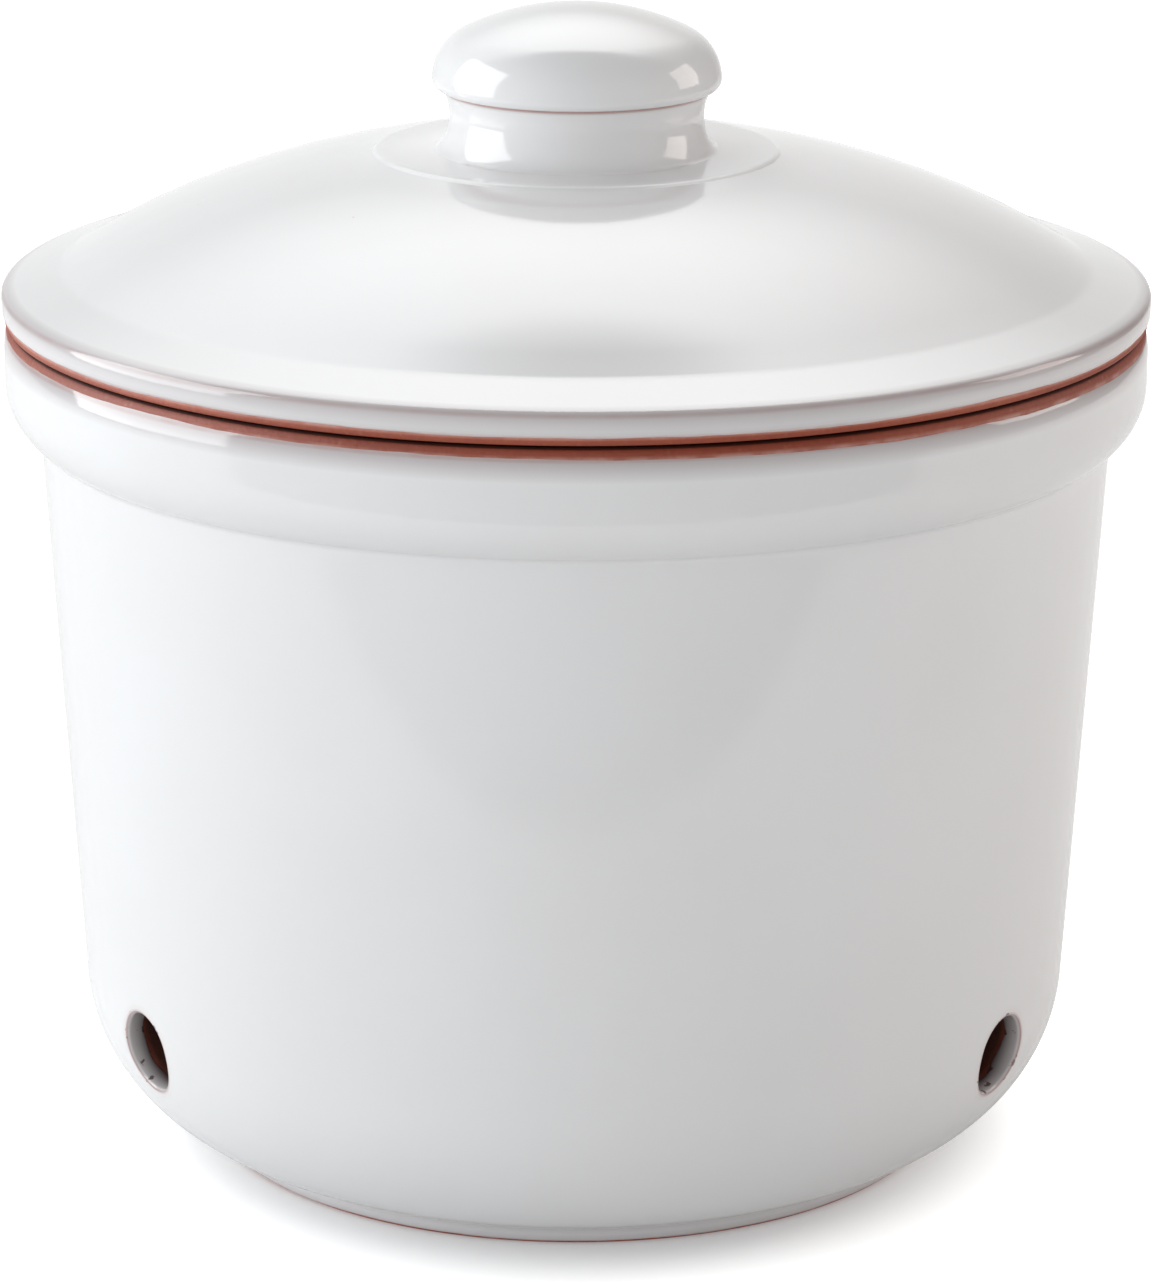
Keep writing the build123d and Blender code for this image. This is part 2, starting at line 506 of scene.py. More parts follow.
@dataclass(frozen=True)
class Vent:
    """A round air hole through the rounded corner of the pot."""

    turn: float
    height: float
    wall_radius: float
    radius: float
    tilt: float
    seat_tries: int = 8
    seat_gap: float = 0.001
    flattest: float = 0.3
    skin_gap: float = 0.25
    draw_bands: int = 5
    even_depth: float = 3.0
    wander_lobes: float = 1.7

    def place(self) -> Matrix:
        """Find its own axes: across, up along the wall, and outwards.

        Returns:
            The axes, from the vent's middle.
        """
        tilt = math.radians(self.tilt)
        out = Vector((0, -math.cos(tilt), -math.sin(tilt)))
        across = Vector((1, 0, 0))
        axes = Matrix((across, out.cross(across), out)).transposed().to_4x4()
        middle = Matrix.Translation(Vector((0, -self.wall_radius, self.height)) * MM)
        return Matrix.Rotation(math.radians(self.turn), 4, "Z") @ middle @ axes

    def seated(self, u: float, v: float, depth: float, radius_at: RadiusAt) -> Vector:
        """The point of a turned surface at a place across the vent.

        Args:
            u: Distance across from the vent's axis, in metres.
            v: Distance up from the vent's axis, in metres.
            depth: How far below the surface the point lies, along the axis, in metres.
            radius_at: The surface's radius at a height, both in millimetres.

        Returns:
            The point, in metres.
        """
        place = self.place()
        out = place.to_3x3().col[2]
        point = place @ Vector((u, v, 0))
        for _ in range(self.seat_tries):
            flat = Vector((point.x, point.y))
            gap = radius_at(point.z / MM) * MM - flat.length
            facing = (out.x * point.x + out.y * point.y) / flat.length
            point += out * gap / max(self.flattest, facing)
            if abs(gap) < self.seat_gap * MM:
                break
        return point - out * depth

    def open_skin(
        self, mesh: Mesh, radius_at: RadiusAt, rings: Rings, margin: float, wander: float = 0.0
    ) -> Edges:
        """Cut a square window in one skin and draw its rim in to the round hole.

        Args:
            mesh: A turned sector that the vent is in the middle of.
            radius_at: The skin's radius at a height, in millimetres.
            rings: Reach from the axis and depth below the skin of each ring, in millimetres.
            margin: How far the window reaches past the first ring, in millimetres.
            wander: How unevenly the deep rings run, in millimetres.

        Returns:
            The edges of the last ring.
        """
        local = self.place().inverted()
        centre = self.seated(0.0, 0.0, 0.0, radius_at)
        heading = math.atan2(centre.x, -centre.y)
        window = (rings[0][0] + margin) * MM
        span = window / math.hypot(centre.x, centre.y)
        cut = []
        for face in mesh.faces:
            middle = face.calc_center_median()
            turn = math.remainder(math.atan2(middle.x, -middle.y) - heading, math.tau)
            if abs(turn) < span and abs(middle.z - centre.z) < window:
                off_skin = math.hypot(middle.x, middle.y) / MM - radius_at(middle.z / MM)
                if abs(off_skin) < self.skin_gap:
                    cut.append(face)
        inside = set(cut)
        rim = [e for f in cut for e in f.edges if any(g not in inside for g in e.link_faces)]
        bmesh.ops.delete(mesh, geom=cut, context="FACES")
        for remaining in range(self.draw_bands, 1, -1):
            rim, verts = drawn_edge(mesh, rim)
            for vert in verts:
                flat = (local @ vert.co).xy
                reach = flat.length + (rings[0][0] * MM - flat.length) / remaining
                flat *= reach / flat.length
                vert.co = self.seated(flat.x, flat.y, 0.0, radius_at)
        for reach, depth in rings:
            rim, verts = drawn_edge(mesh, rim)
            for vert in verts:
                flat = (local @ vert.co).xy.normalized() * reach * MM
                sway = 0.0
                if depth > self.even_depth:
                    angle = math.atan2(flat.y, flat.x)
                    sway = wave(angle, self.wander_lobes, self.turn) * wander
                vert.co = self.seated(flat.x, flat.y, (depth + sway) * MM, radius_at)
        return rim


def drawn_edge(mesh: Mesh, rim: Edges) -> tuple[Edges, list[bmesh.types.BMVert]]:
    """Extrude a ring of edges in place.

    Args:
        mesh: The mesh that it is in.
        rim: The ring's edges.

    Returns:
        The edges and the vertices of the new ring.
    """
    made = bmesh.ops.extrude_edge_only(mesh, edges=rim)["geom"]
    verts = [item for item in made if isinstance(item, bmesh.types.BMVert)]
    fresh = set(verts)
    edges = [
        item for item in made
        if isinstance(item, bmesh.types.BMEdge) and all(vert in fresh for vert in item.verts)
    ]
    return edges, verts


def rounded_lip(reach: float, amount: float) -> Rings:
    """Shape a quarter round from a surface down into a hole.

    Args:
        reach: Radius of the hole.
        amount: Radius of the round.

    Returns:
        Reach and depth of each ring.
    """
    turns = [math.pi / 2 * i / LIP_STEPS for i in range(LIP_STEPS + 1)]
    return [
        (reach + amount * (1 - math.sin(turn)), amount * (1 - math.cos(turn))) for turn in turns
    ]


class Graph:
    """The nodes of one material or group, added and wired in order."""

    def __init__(self, tree: NodeTree) -> None:
        """Start on a node tree."""
        self.tree = tree
        self.count = 0

    def node(self, kind: str, inputs: dict | None = None, **settings: object) -> Node:
        """Add a node.

        Args:
            kind: Blender's name for the node.
            inputs: Value or socket for each named or numbered input.
            **settings: Properties of the node itself.

        Returns:
            The new node.
        """
        made = self.tree.nodes.new(kind)
        made.location = (self.count * NODE_STEP, -(self.count % NODE_ROWS) * NODE_DROP)
        self.count += 1
        for name, value in settings.items():
            setattr(made, name, value)
        for name, value in (inputs or {}).items():
            if isinstance(value, Socket):
                self.tree.links.new(value, made.inputs[name])
            else:
                made.inputs[name].default_value = value
        return made

    def math(self, operation: str, *values: object, clamp: bool = False) -> Socket:
        """Add a Math node.

        Args:
            operation: Blender's name for the operation.
            *values: Number or socket for each input in turn.
            clamp: Whether the result is kept between 0 and 1.

        Returns:
            The result.
        """
        made = self.node("ShaderNodeMath", dict(enumerate(values)), operation=operation)
        made.use_clamp = clamp
        return made.outputs[0]

    def vector_math(self, operation: str, *values: object) -> Node:
        """Add a Vector Math node."""
        return self.node("ShaderNodeVectorMath", dict(enumerate(values)), operation=operation)

    def blend(self, share: object, first: object, second: object) -> Socket:
        """Mix two colours, the second one by a share."""
        inputs = {0: share, 6: first, 7: second}
        return self.node("ShaderNodeMix", inputs, data_type="RGBA").outputs[2]

    def remap(self, value: object, low: float, high: float) -> Socket:
        """A smooth step from 0 to 1 as a value goes from low to high."""
        inputs = {"Value": value, "From Min": low, "From Max": high}
        return self.node("ShaderNodeMapRange", inputs, interpolation_type="SMOOTHSTEP").outputs[0]

    def noise(self, where: object, scale: object, detail: float = 3.0) -> Socket:
        """Add a Noise Texture and give its value."""
        inputs = {"Vector": where, "Scale": scale, "Detail": detail}
        return self.node("ShaderNodeTexNoise", inputs).outputs["Fac"]

    def object_place(self) -> Socket:
        """The point being shaded, in the piece's own coordinates."""
        return self.node("ShaderNodeTexCoord").outputs["Object"]

    def split(self, where: object) -> tuple[Socket, ...]:
        """The three parts of a vector."""
        return tuple(self.node("ShaderNodeSeparateXYZ", {0: where}).outputs)

    def length(self, vector: object) -> Socket:
        """Length of a vector."""
        return self.vector_math("LENGTH", vector).outputs["Value"]

    def between(self, share: object, start: float, end: float) -> Socket:
        """A value that goes from start to end as a share goes from 0 to 1."""
        return self.math("MULTIPLY_ADD", share, end - start, start)

    def product(self, first: object, *others: object) -> Socket:
        """Multiply several values.

        Args:
            first: Number or socket.
            *others: The other numbers or sockets.

        Returns:
            Their product.
        """
        for other in others:
            first = self.math("MULTIPLY", first, other)
        return first

    def tint(self, colour: object, over: Colour, mask: object, strength: object) -> Socket:
        """Lay another colour over a colour, by a mask times a strength."""
        return self.blend(self.math("MULTIPLY", mask, strength), colour, over)

    def seen_straight(self) -> Socket:
        """1 where the camera sees a surface itself or through glass, and 0 elsewhere."""
        path = self.node("ShaderNodeLightPath").outputs
        return self.math("MAXIMUM", path["Is Camera Ray"], path["Is Transmission Ray"])

    def give(self, result: Node, outputs: dict[str, Socket]) -> NodeTree:
        """Wire the outputs of a group.

        Args:
            result: The group's output node.
            outputs: What each output gives.

        Returns:
            The group's tree.
        """
        for name, socket in outputs.items():
            self.tree.links.new(socket, result.inputs[name])
        return self.tree

    def surface(
        self, inputs: dict, height: Socket, bump_strength: float, bump_depth: float
    ) -> None:
        """End a material with its shader.

        Args:
            inputs: Value or socket for the shader's inputs.
            height: Height of the fine relief.
            bump_strength: How much of that relief shows.
            bump_depth: Depth of the relief, in metres.
        """
        relief = {"Strength": bump_strength, "Distance": bump_depth, "Height": height}
        normal = self.node("ShaderNodeBump", relief).outputs[0]
        shader = self.node("ShaderNodeBsdfPrincipled", {**inputs, "Normal": normal})
        self.node("ShaderNodeOutputMaterial", {"Surface": shader.outputs[0]})


def new_material(name: str) -> tuple[Material, Graph]:
    """Make an empty material.

    Args:
        name: The material's name.

    Returns:
        The material and a graph for its nodes.
    """
    material = bpy.data.materials.new(name)
    material.use_nodes = True
    material.node_tree.nodes.clear()
    return material, Graph(material.node_tree)


def new_group(
    name: str, inputs: dict[str, object], outputs: tuple[str, ...]
) -> tuple[Graph, Node, Node]:
    """Make an empty shader node group.

    Args:
        name: The group's name.
        inputs: Default of each input, a number or a vector.
        outputs: Name of each output, all of them values.

    Returns:
        The group's graph, its input node and its output node.
    """
    tree = bpy.data.node_groups.new(name, "ShaderNodeTree")
    for label, value in inputs.items():
        kind = "NodeSocketVector" if isinstance(value, tuple) else "NodeSocketFloat"
        socket = tree.interface.new_socket(label, in_out="INPUT", socket_type=kind)
        socket.default_value = value
    for label in outputs:
        tree.interface.new_socket(label, in_out="OUTPUT", socket_type="NodeSocketFloat")
    graph = Graph(tree)
    return graph, graph.node("NodeGroupInput"), graph.node("NodeGroupOutput")


@dataclass(frozen=True)
class TurnedEdge:
    """A thin line round the pot, at one radius and height, broken up by noise."""

    patch_scale: float = 160.0
    patches: tuple[float, float] = (0.35, 0.62)

    def group(self) -> NodeTree:
        """Build the line's mask.

        Returns:
            The node group, with sizes in millimetres.
        """
        graph, given, result = new_group(
            "Turned Edge",
            {"Radius": 100.0, "Height": 100.0, "Width": 0.4, "Breaks": 0.3},
            ("Mask",),
        )
        place = graph.object_place()
        x, y, z = graph.split(place)
        flat = graph.node("ShaderNodeCombineXYZ", {0: x, 1: y}).outputs[0]
        radius = graph.math("MULTIPLY", graph.length(flat), MM_PER_METRE)
        height = graph.math("MULTIPLY", z, MM_PER_METRE)
        across = graph.math("SUBTRACT", radius, given.outputs["Radius"])
        above = graph.math("SUBTRACT", height, given.outputs["Height"])
        squares = [graph.math("POWER", gap, 2.0) for gap in (across, above)]
        far = graph.math("SQRT", graph.math("ADD", *squares))
        near = graph.math("DIVIDE", far, given.outputs["Width"])
        mask = graph.math("SUBTRACT", 1.0, near, clamp=True)
        patchy = graph.remap(graph.noise(place, self.patch_scale), *self.patches)
        loss = graph.math("MULTIPLY", patchy, given.outputs["Breaks"])
        kept = graph.math("SUBTRACT", 1.0, loss, clamp=True)
        return graph.give(result, {"Mask": graph.math("MULTIPLY", mask, kept)})


@dataclass(frozen=True)
class VentEdge:
    """A vent's edge line, how deep and how low a point lies in it, and what is inside."""

    longest: float = 18.0
    margin: float = 0.6
    low_rate: float = 60.0
    low_middle: float = 0.5

    def group(self) -> NodeTree:
        """Build the vent's masks.

        Returns:
            The node group, with its middle in metres and its other sizes in millimetres.
        """
        graph, given, result = new_group(
            "Vent Edge",
            {"Middle": (0.0, 0.0, 0.0), "Outwards": (0.0, -1.0, 0.0), "Reach": 8.4, "Width": 0.5},
            ("Mask", "Depth", "Low", "Near"),
        )
        middle, outwards, hole, width = (
            given.outputs[name] for name in ("Middle", "Outwards", "Reach", "Width")
        )
        away = graph.vector_math("SUBTRACT", graph.object_place(), middle).outputs[0]
        along = graph.vector_math("DOT_PRODUCT", away, outwards).outputs["Value"]
        spine = graph.node("ShaderNodeVectorMath", {0: outwards, "Scale": along}, operation="SCALE")
        across = graph.vector_math("SUBTRACT", away, spine.outputs[0]).outputs[0]
        reach = graph.math("MULTIPLY", graph.length(across), MM_PER_METRE)
        off = graph.math("ABSOLUTE", graph.math("SUBTRACT", reach, hole))
        ring = graph.math("SUBTRACT", 1.0, graph.math("DIVIDE", off, width), clamp=True)
        depth = graph.math("MULTIPLY", along, -MM_PER_METRE)
        near = graph.math("LESS_THAN", graph.math("ABSOLUTE", depth), self.longest)
        within = graph.math("LESS_THAN", reach, graph.math("ADD", hole, self.margin))
        drop = graph.split(away)[2]
        low = graph.math("MULTIPLY_ADD", drop, -self.low_rate, self.low_middle, clamp=True)
        masks = {
            "Mask": graph.math("MULTIPLY", ring, near),
            "Depth": depth,
            "Low": low,
            "Near": graph.math("MULTIPLY", within, near),
        }
        return graph.give(result, masks)


@dataclass(frozen=True)
class FiredGrain:
    """Fine grain, grog specks and faint turning marks of bare fired clay."""

    fine_detail: float = 6.0
    fine_share: float = 0.5
    broad_scale: float = 26.0
    grog_scale: float = 420.0
    grog_edge: tuple[float, float] = (0.10, 0.24)
    mark_wobble: float = 0.004
    mark_rate: float = 1400.0

    def group(self) -> NodeTree:
        """Build the grain.

        Returns:
            The node group.
        """
        graph, given, result = new_group(
            "Fired Grain", {"Grain Scale": 900.0, "Marks": 0.3}, ("Tone", "Specks", "Height")
        )
        place = graph.object_place()
        fine = graph.noise(place, given.outputs["Grain Scale"], self.fine_detail)
        broad = graph.noise(place, self.broad_scale)
        rest = graph.math("MULTIPLY", broad, 1.0 - self.fine_share)
        grog = graph.node("ShaderNodeTexVoronoi", {"Vector": place, "Scale": self.grog_scale})
        away = graph.remap(grog.outputs["Distance"], *self.grog_edge)
        wobble = graph.math("MULTIPLY", broad, self.mark_wobble)
        rise = graph.math("ADD", graph.split(place)[2], wobble)
        ridges = graph.math("SINE", graph.math("MULTIPLY", rise, self.mark_rate))
        outputs = {
            "Tone": graph.math("MULTIPLY_ADD", fine, self.fine_share, rest),
            "Specks": graph.math("SUBTRACT", 1.0, away),
            "Height": graph.math("MULTIPLY_ADD", ridges, given.outputs["Marks"], fine),
        }
        return graph.give(result, outputs)


@dataclass(frozen=True)
class GlazeSurface:
    """Clouding, pinholes and the faint undulation of a poured glaze."""

    cloud_scale: float = 18.0
    dot_scale: float = 90.0
    dot_edge: tuple[float, float] = (0.012, 0.030)
    dots_left_out: float = 0.93
    dot_depth: float = 0.6
    swell_scale: float = 55.0
    swell_detail: float = 2.0

    def group(self) -> NodeTree:
        """Build the glaze's unevenness.

        Returns:
            The node group.
        """
        graph, given, result = new_group(
            "Glaze Surface", {"Undulation": 1.0}, ("Cloud", "Pinholes", "Height")
        )
        place = graph.object_place()
        dots = graph.node("ShaderNodeTexVoronoi", {"Vector": place, "Scale": self.dot_scale})
        draw = graph.node("ShaderNodeSeparateColor", {0: dots.outputs["Color"]}).outputs[0]
        chosen = graph.math("GREATER_THAN", draw, self.dots_left_out)
        small = graph.math("SUBTRACT", 1.0, graph.remap(dots.outputs["Distance"], *self.dot_edge))
        pinholes = graph.math("MULTIPLY", small, chosen)
        swell = graph.noise(place, self.swell_scale, self.swell_detail)
        swell = graph.math("MULTIPLY", swell, given.outputs["Undulation"])
        outputs = {
            "Cloud": graph.noise(place, self.cloud_scale),
            "Pinholes": pinholes,
            "Height": graph.math("MULTIPLY_ADD", pinholes, -self.dot_depth, swell),
        }
        return graph.give(result, outputs)


def vent_mask(
    graph: Graph, groups: Groups, vent: Vent, offset: float = 0.0, width: float = 0.5
) -> bpy.types.NodeOutputs:
    """Add the masks of a vent.

    Args:
        graph: The material's graph.
        groups: The shared effects, by name.
        vent: The air hole.
        offset: How far outside the hole's wall its edge line runs, in millimetres.
        width: How far that line reaches to either side, in millimetres.

    Returns:
        The outputs, by name.
    """
    place = vent.place()
    inputs = {
        "Middle": place.translation,
        "Outwards": place.to_3x3().col[2],
        "Reach": vent.radius + offset,
        "Width": width,
    }
    return graph.node("ShaderNodeGroup", inputs, node_tree=groups["Vent Edge"]).outputs


@dataclass(frozen=True)
class ThinAndShadedEdge:
    """A turned edge where glaze and clay meet, with its places and reaches in millimetres.

    In glaze, the clay shows as a line on the edge itself, and round it the glaze is a greyer
    veil of thin glaze, which at some edges is painted shade as well. On clay, the line is a dust
    of glaze at the glaze's edge and painted shade in the seam, and the veil is painted shade.
    """

    radius: float
    height: float
    line_reach: float = 1.0
    line_strength: float = 0.0
    veil_and_shade_reach: float = 1.0
    veil_and_shade_strength: float = 0.0
    breaks: float = 0.3

    def mask(self, graph: Graph, groups: Groups, reach: float, breaks: float = 0.0) -> Socket:
        """Add the mask of this edge.

        Args:
            graph: The material's graph.
            groups: The shared effects, by name.
            reach: How far the mask reaches, in millimetres.
            breaks: How much of it the noise takes away.

        Returns:
            The mask, 1 on the edge and 0 at the reach.
        """
        inputs = {"Radius": self.radius, "Height": self.height, "Width": reach, "Breaks": breaks}
        made = graph.node("ShaderNodeGroup", inputs, node_tree=groups["Turned Edge"])
        return made.outputs["Mask"]

    def line(self, graph: Graph, groups: Groups) -> Socket:
        """Mask of the line on the edge itself, with its breaks."""
        return self.mask(graph, groups, self.line_reach, self.breaks)

    def veil_and_shade(self, graph: Graph, groups: Groups) -> Socket:
        """Mask of the wider veil round the edge, thin glaze at some edges and painted shade at
        others.
        """
        return self.mask(graph, groups, self.veil_and_shade_reach)


@dataclass(frozen=True)
class GlazeFinish:
    """Glossy white glaze over red clay, with its depths and reaches in millimetres."""

    white: Colour = (0.872, 0.877, 0.884, 1.0)
    shade: Colour = (0.858, 0.860, 0.864, 1.0)
    line: Colour = (0.42, 0.15, 0.11, 1.0)
    # grey of thin glaze over clay, also laid on as painted shade below the lid's edge, at the lid's
    # outer corner and above the foot
    veil_and_shade: Colour = (0.49, 0.435, 0.44, 1.0)
    blush: Colour = (0.72, 0.52, 0.48, 1.0)
    vent_line: Colour = (0.36, 0.20, 0.19, 1.0)
    # dark of pits in the vent walls, and also painted shade deeper inside the vents
    pit_and_shade_dark: Colour = (0.075, 0.032, 0.032, 1.0)
    clouds: tuple[float, float] = (0.35, 0.65)
    pinhole_strength: float = 0.55
    line_power: float = 0.6
    roughness: float = 0.07
    cloud_roughness: float = 0.05
    refraction: float = 1.52
    undulation: float = 1.0
    relief_strength: float = 0.35
    relief_depth: float = 0.12
    halo_offset: float = 0.9
    halo_reach: float = 1.7
    halo_strength: float = 0.2
    rim_offset: float = 0.45
    rim_reach: float = 0.32
    rim_power: float = 0.7
    rim_strength: float = 0.8
    wall_veil: float = 0.35
    glaze_shade_depths: tuple[float, float] = (0.6, 4.4)
    glaze_shade_above: float = 0.4
    glaze_shade_more_below: float = 0.55
    pit_scale: float = 420.0
    pits: tuple[float, float] = (0.63, 0.68)
    pit_strength: float = 0.8

    def material(
        self, name: str, groups: Groups, edges: list[ThinAndShadedEdge], vents: list[Vent]
    ) -> Material:
        """Mix the glaze for one piece.

        Args:
            name: The material's name.
            groups: The shared effects, by name.
            edges: Turned edges where the clay shows through, some with painted shade round them.
            vents: Air holes, whose edges are thin too, with painted shade on their walls.

        Returns:
            The material.
        """
        material, graph = new_material(name)
        uneven = graph.node(
            "ShaderNodeGroup", {"Undulation": self.undulation}, node_tree=groups["Glaze Surface"]
        ).outputs
        cloud = uneven["Cloud"]
        colour = graph.blend(graph.remap(cloud, *self.clouds), self.white, self.shade)
        colour = graph.tint(colour, self.blush, uneven["Pinholes"], self.pinhole_strength)
        for edge in edges:
            colour = graph.tint(colour, self.veil_and_shade, edge.veil_and_shade(graph, groups), edge.veil_and_shade_strength)
            if edge.line_strength:
                line = graph.math("POWER", edge.line(graph, groups), self.line_power)
                colour = graph.tint(colour, self.line, line, edge.line_strength)
        for vent in vents:
            colour = self._round_vent(graph, groups, vent, colour)
        rough = graph.math("MULTIPLY_ADD", cloud, self.cloud_roughness, self.roughness)
        shader = {"Base Color": colour, "Roughness": rough, "IOR": self.refraction}
        graph.surface(shader, uneven["Height"], self.relief_strength, self.relief_depth * MM)
        return material

    def _round_vent(self, graph: Graph, groups: Groups, vent: Vent, colour: Socket) -> Socket:
        """Thin the glaze at a vent's edge, paint shade on the wall behind it, and pit that wall.

        Args:
            graph: The material's graph.
            groups: The shared effects, by name.
            vent: The air hole.
            colour: The glaze's colour so far.

        Returns:
            The colour with the vent in it.
        """
        halo = vent_mask(graph, groups, vent, self.halo_offset, self.halo_reach)
        colour = graph.tint(colour, self.blush, halo["Mask"], self.halo_strength)
        rim = vent_mask(graph, groups, vent, self.rim_offset, self.rim_reach)
        near = rim["Near"]
        colour = graph.tint(colour, self.veil_and_shade, near, self.wall_veil)
        # painted shade on the vent's wall, darker deeper in and more towards the bottom
        low = graph.math("MULTIPLY_ADD", rim["Low"], self.glaze_shade_more_below, self.glaze_shade_above)
        deep = graph.math("MULTIPLY", graph.remap(rim["Depth"], *self.glaze_shade_depths), low)
        colour = graph.tint(colour, self.pit_and_shade_dark, deep, near)
        pits = graph.remap(graph.noise(graph.object_place(), self.pit_scale), *self.pits)
        pits = graph.math("MULTIPLY", pits, near)
        colour = graph.tint(colour, self.pit_and_shade_dark, pits, self.pit_strength)
        line = graph.math("POWER", rim["Mask"], self.rim_power)
        return graph.tint(colour, self.vent_line, line, self.rim_strength)


@dataclass(frozen=True)
class ClayFinish:
    """Bare fired red clay, with its depths in millimetres."""

    light: Colour = (0.43, 0.102, 0.050, 1.0)
    dark: Colour = (0.36, 0.077, 0.038, 1.0)
    speck: Colour = (0.52, 0.19, 0.12, 1.0)
    dust: Colour = (0.80, 0.52, 0.45, 1.0)
    # painted shade: dark laid into the seam between pot and lid and deep inside the vents
    seam_and_vent_shade: Colour = (0.020, 0.008, 0.006, 1.0)
    shadow: Colour = (0.13, 0.014, 0.010, 1.0)
    tones: tuple[float, float] = (0.32, 0.68)
    speck_strength: float = 0.2
    speck_gloss: float = 0.1
    roughness: float = 0.6
    marks: float = 0.25
    relief_strength: float = 0.6
    relief_depth: float = 0.25
    shade_power: float = 0.7
    seam_edge: tuple[float, float] = (0.0, 0.15)
    clay_shade_depths: tuple[float, float] = (2.4, 5.6)
    clay_shade_above: float = 0.98
    clay_shade_less_below: float = 0.18

    def material(
        self, name: str, groups: Groups, edges: list[ThinAndShadedEdge], seam: ThinAndShadedEdge, shade: ThinAndShadedEdge,
        vents: list[Vent],
    ) -> Material:
        """Mix the clay.

        Args:
            name: The material's name.
            groups: The shared effects, by name.
            edges: Turned edges where the clay is dusted with glaze.
            seam: Where shade is painted in the seam between pot and lid.
            shade: Where the clay darkens towards that seam.
            vents: Air holes, whose bare walls get painted shade deeper in, a little less towards
                the bottom.

        Returns:
            The material.
        """
        material, graph = new_material(name)
        grain = graph.node(
            "ShaderNodeGroup", {"Marks": self.marks}, node_tree=groups["Fired Grain"]
        ).outputs
        specks = grain["Specks"]
        colour = graph.blend(graph.remap(grain["Tone"], *self.tones), self.dark, self.light)
        colour = graph.tint(colour, self.speck, specks, self.speck_strength)
        for edge in edges:
            colour = graph.tint(colour, self.dust, edge.line(graph, groups), edge.line_strength)
        shaded = graph.math("POWER", shade.veil_and_shade(graph, groups), self.shade_power)
        colour = graph.tint(colour, self.shadow, shaded, shade.veil_and_shade_strength)
        # painted shade in the seam between pot and lid
        dark = graph.remap(seam.mask(graph, groups, seam.line_reach), *self.seam_edge)
        colour = graph.tint(colour, self.seam_and_vent_shade, dark, seam.line_strength)
        # painted shade on the vents' bare walls, darker deeper in and a little less towards the
        # bottom
        for vent in vents:
            inside = vent_mask(graph, groups, vent)
            deep = graph.remap(inside["Depth"], *self.clay_shade_depths)
            deep = graph.math("MULTIPLY", deep, inside["Near"])
            share = graph.math(
                "MULTIPLY_ADD", inside["Low"], -self.clay_shade_less_below, self.clay_shade_above
            )
            colour = graph.tint(colour, self.seam_and_vent_shade, deep, share)
        rough = graph.math("MULTIPLY_ADD", specks, -self.speck_gloss, self.roughness)
        shader = {"Base Color": colour, "Roughness": rough}
        graph.surface(shader, grain["Height"], self.relief_strength, self.relief_depth * MM)
        return material


def height_of(node: str) -> float:
    """Height of the top of a CAD node, in millimetres."""
    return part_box(node)[1].z / MM


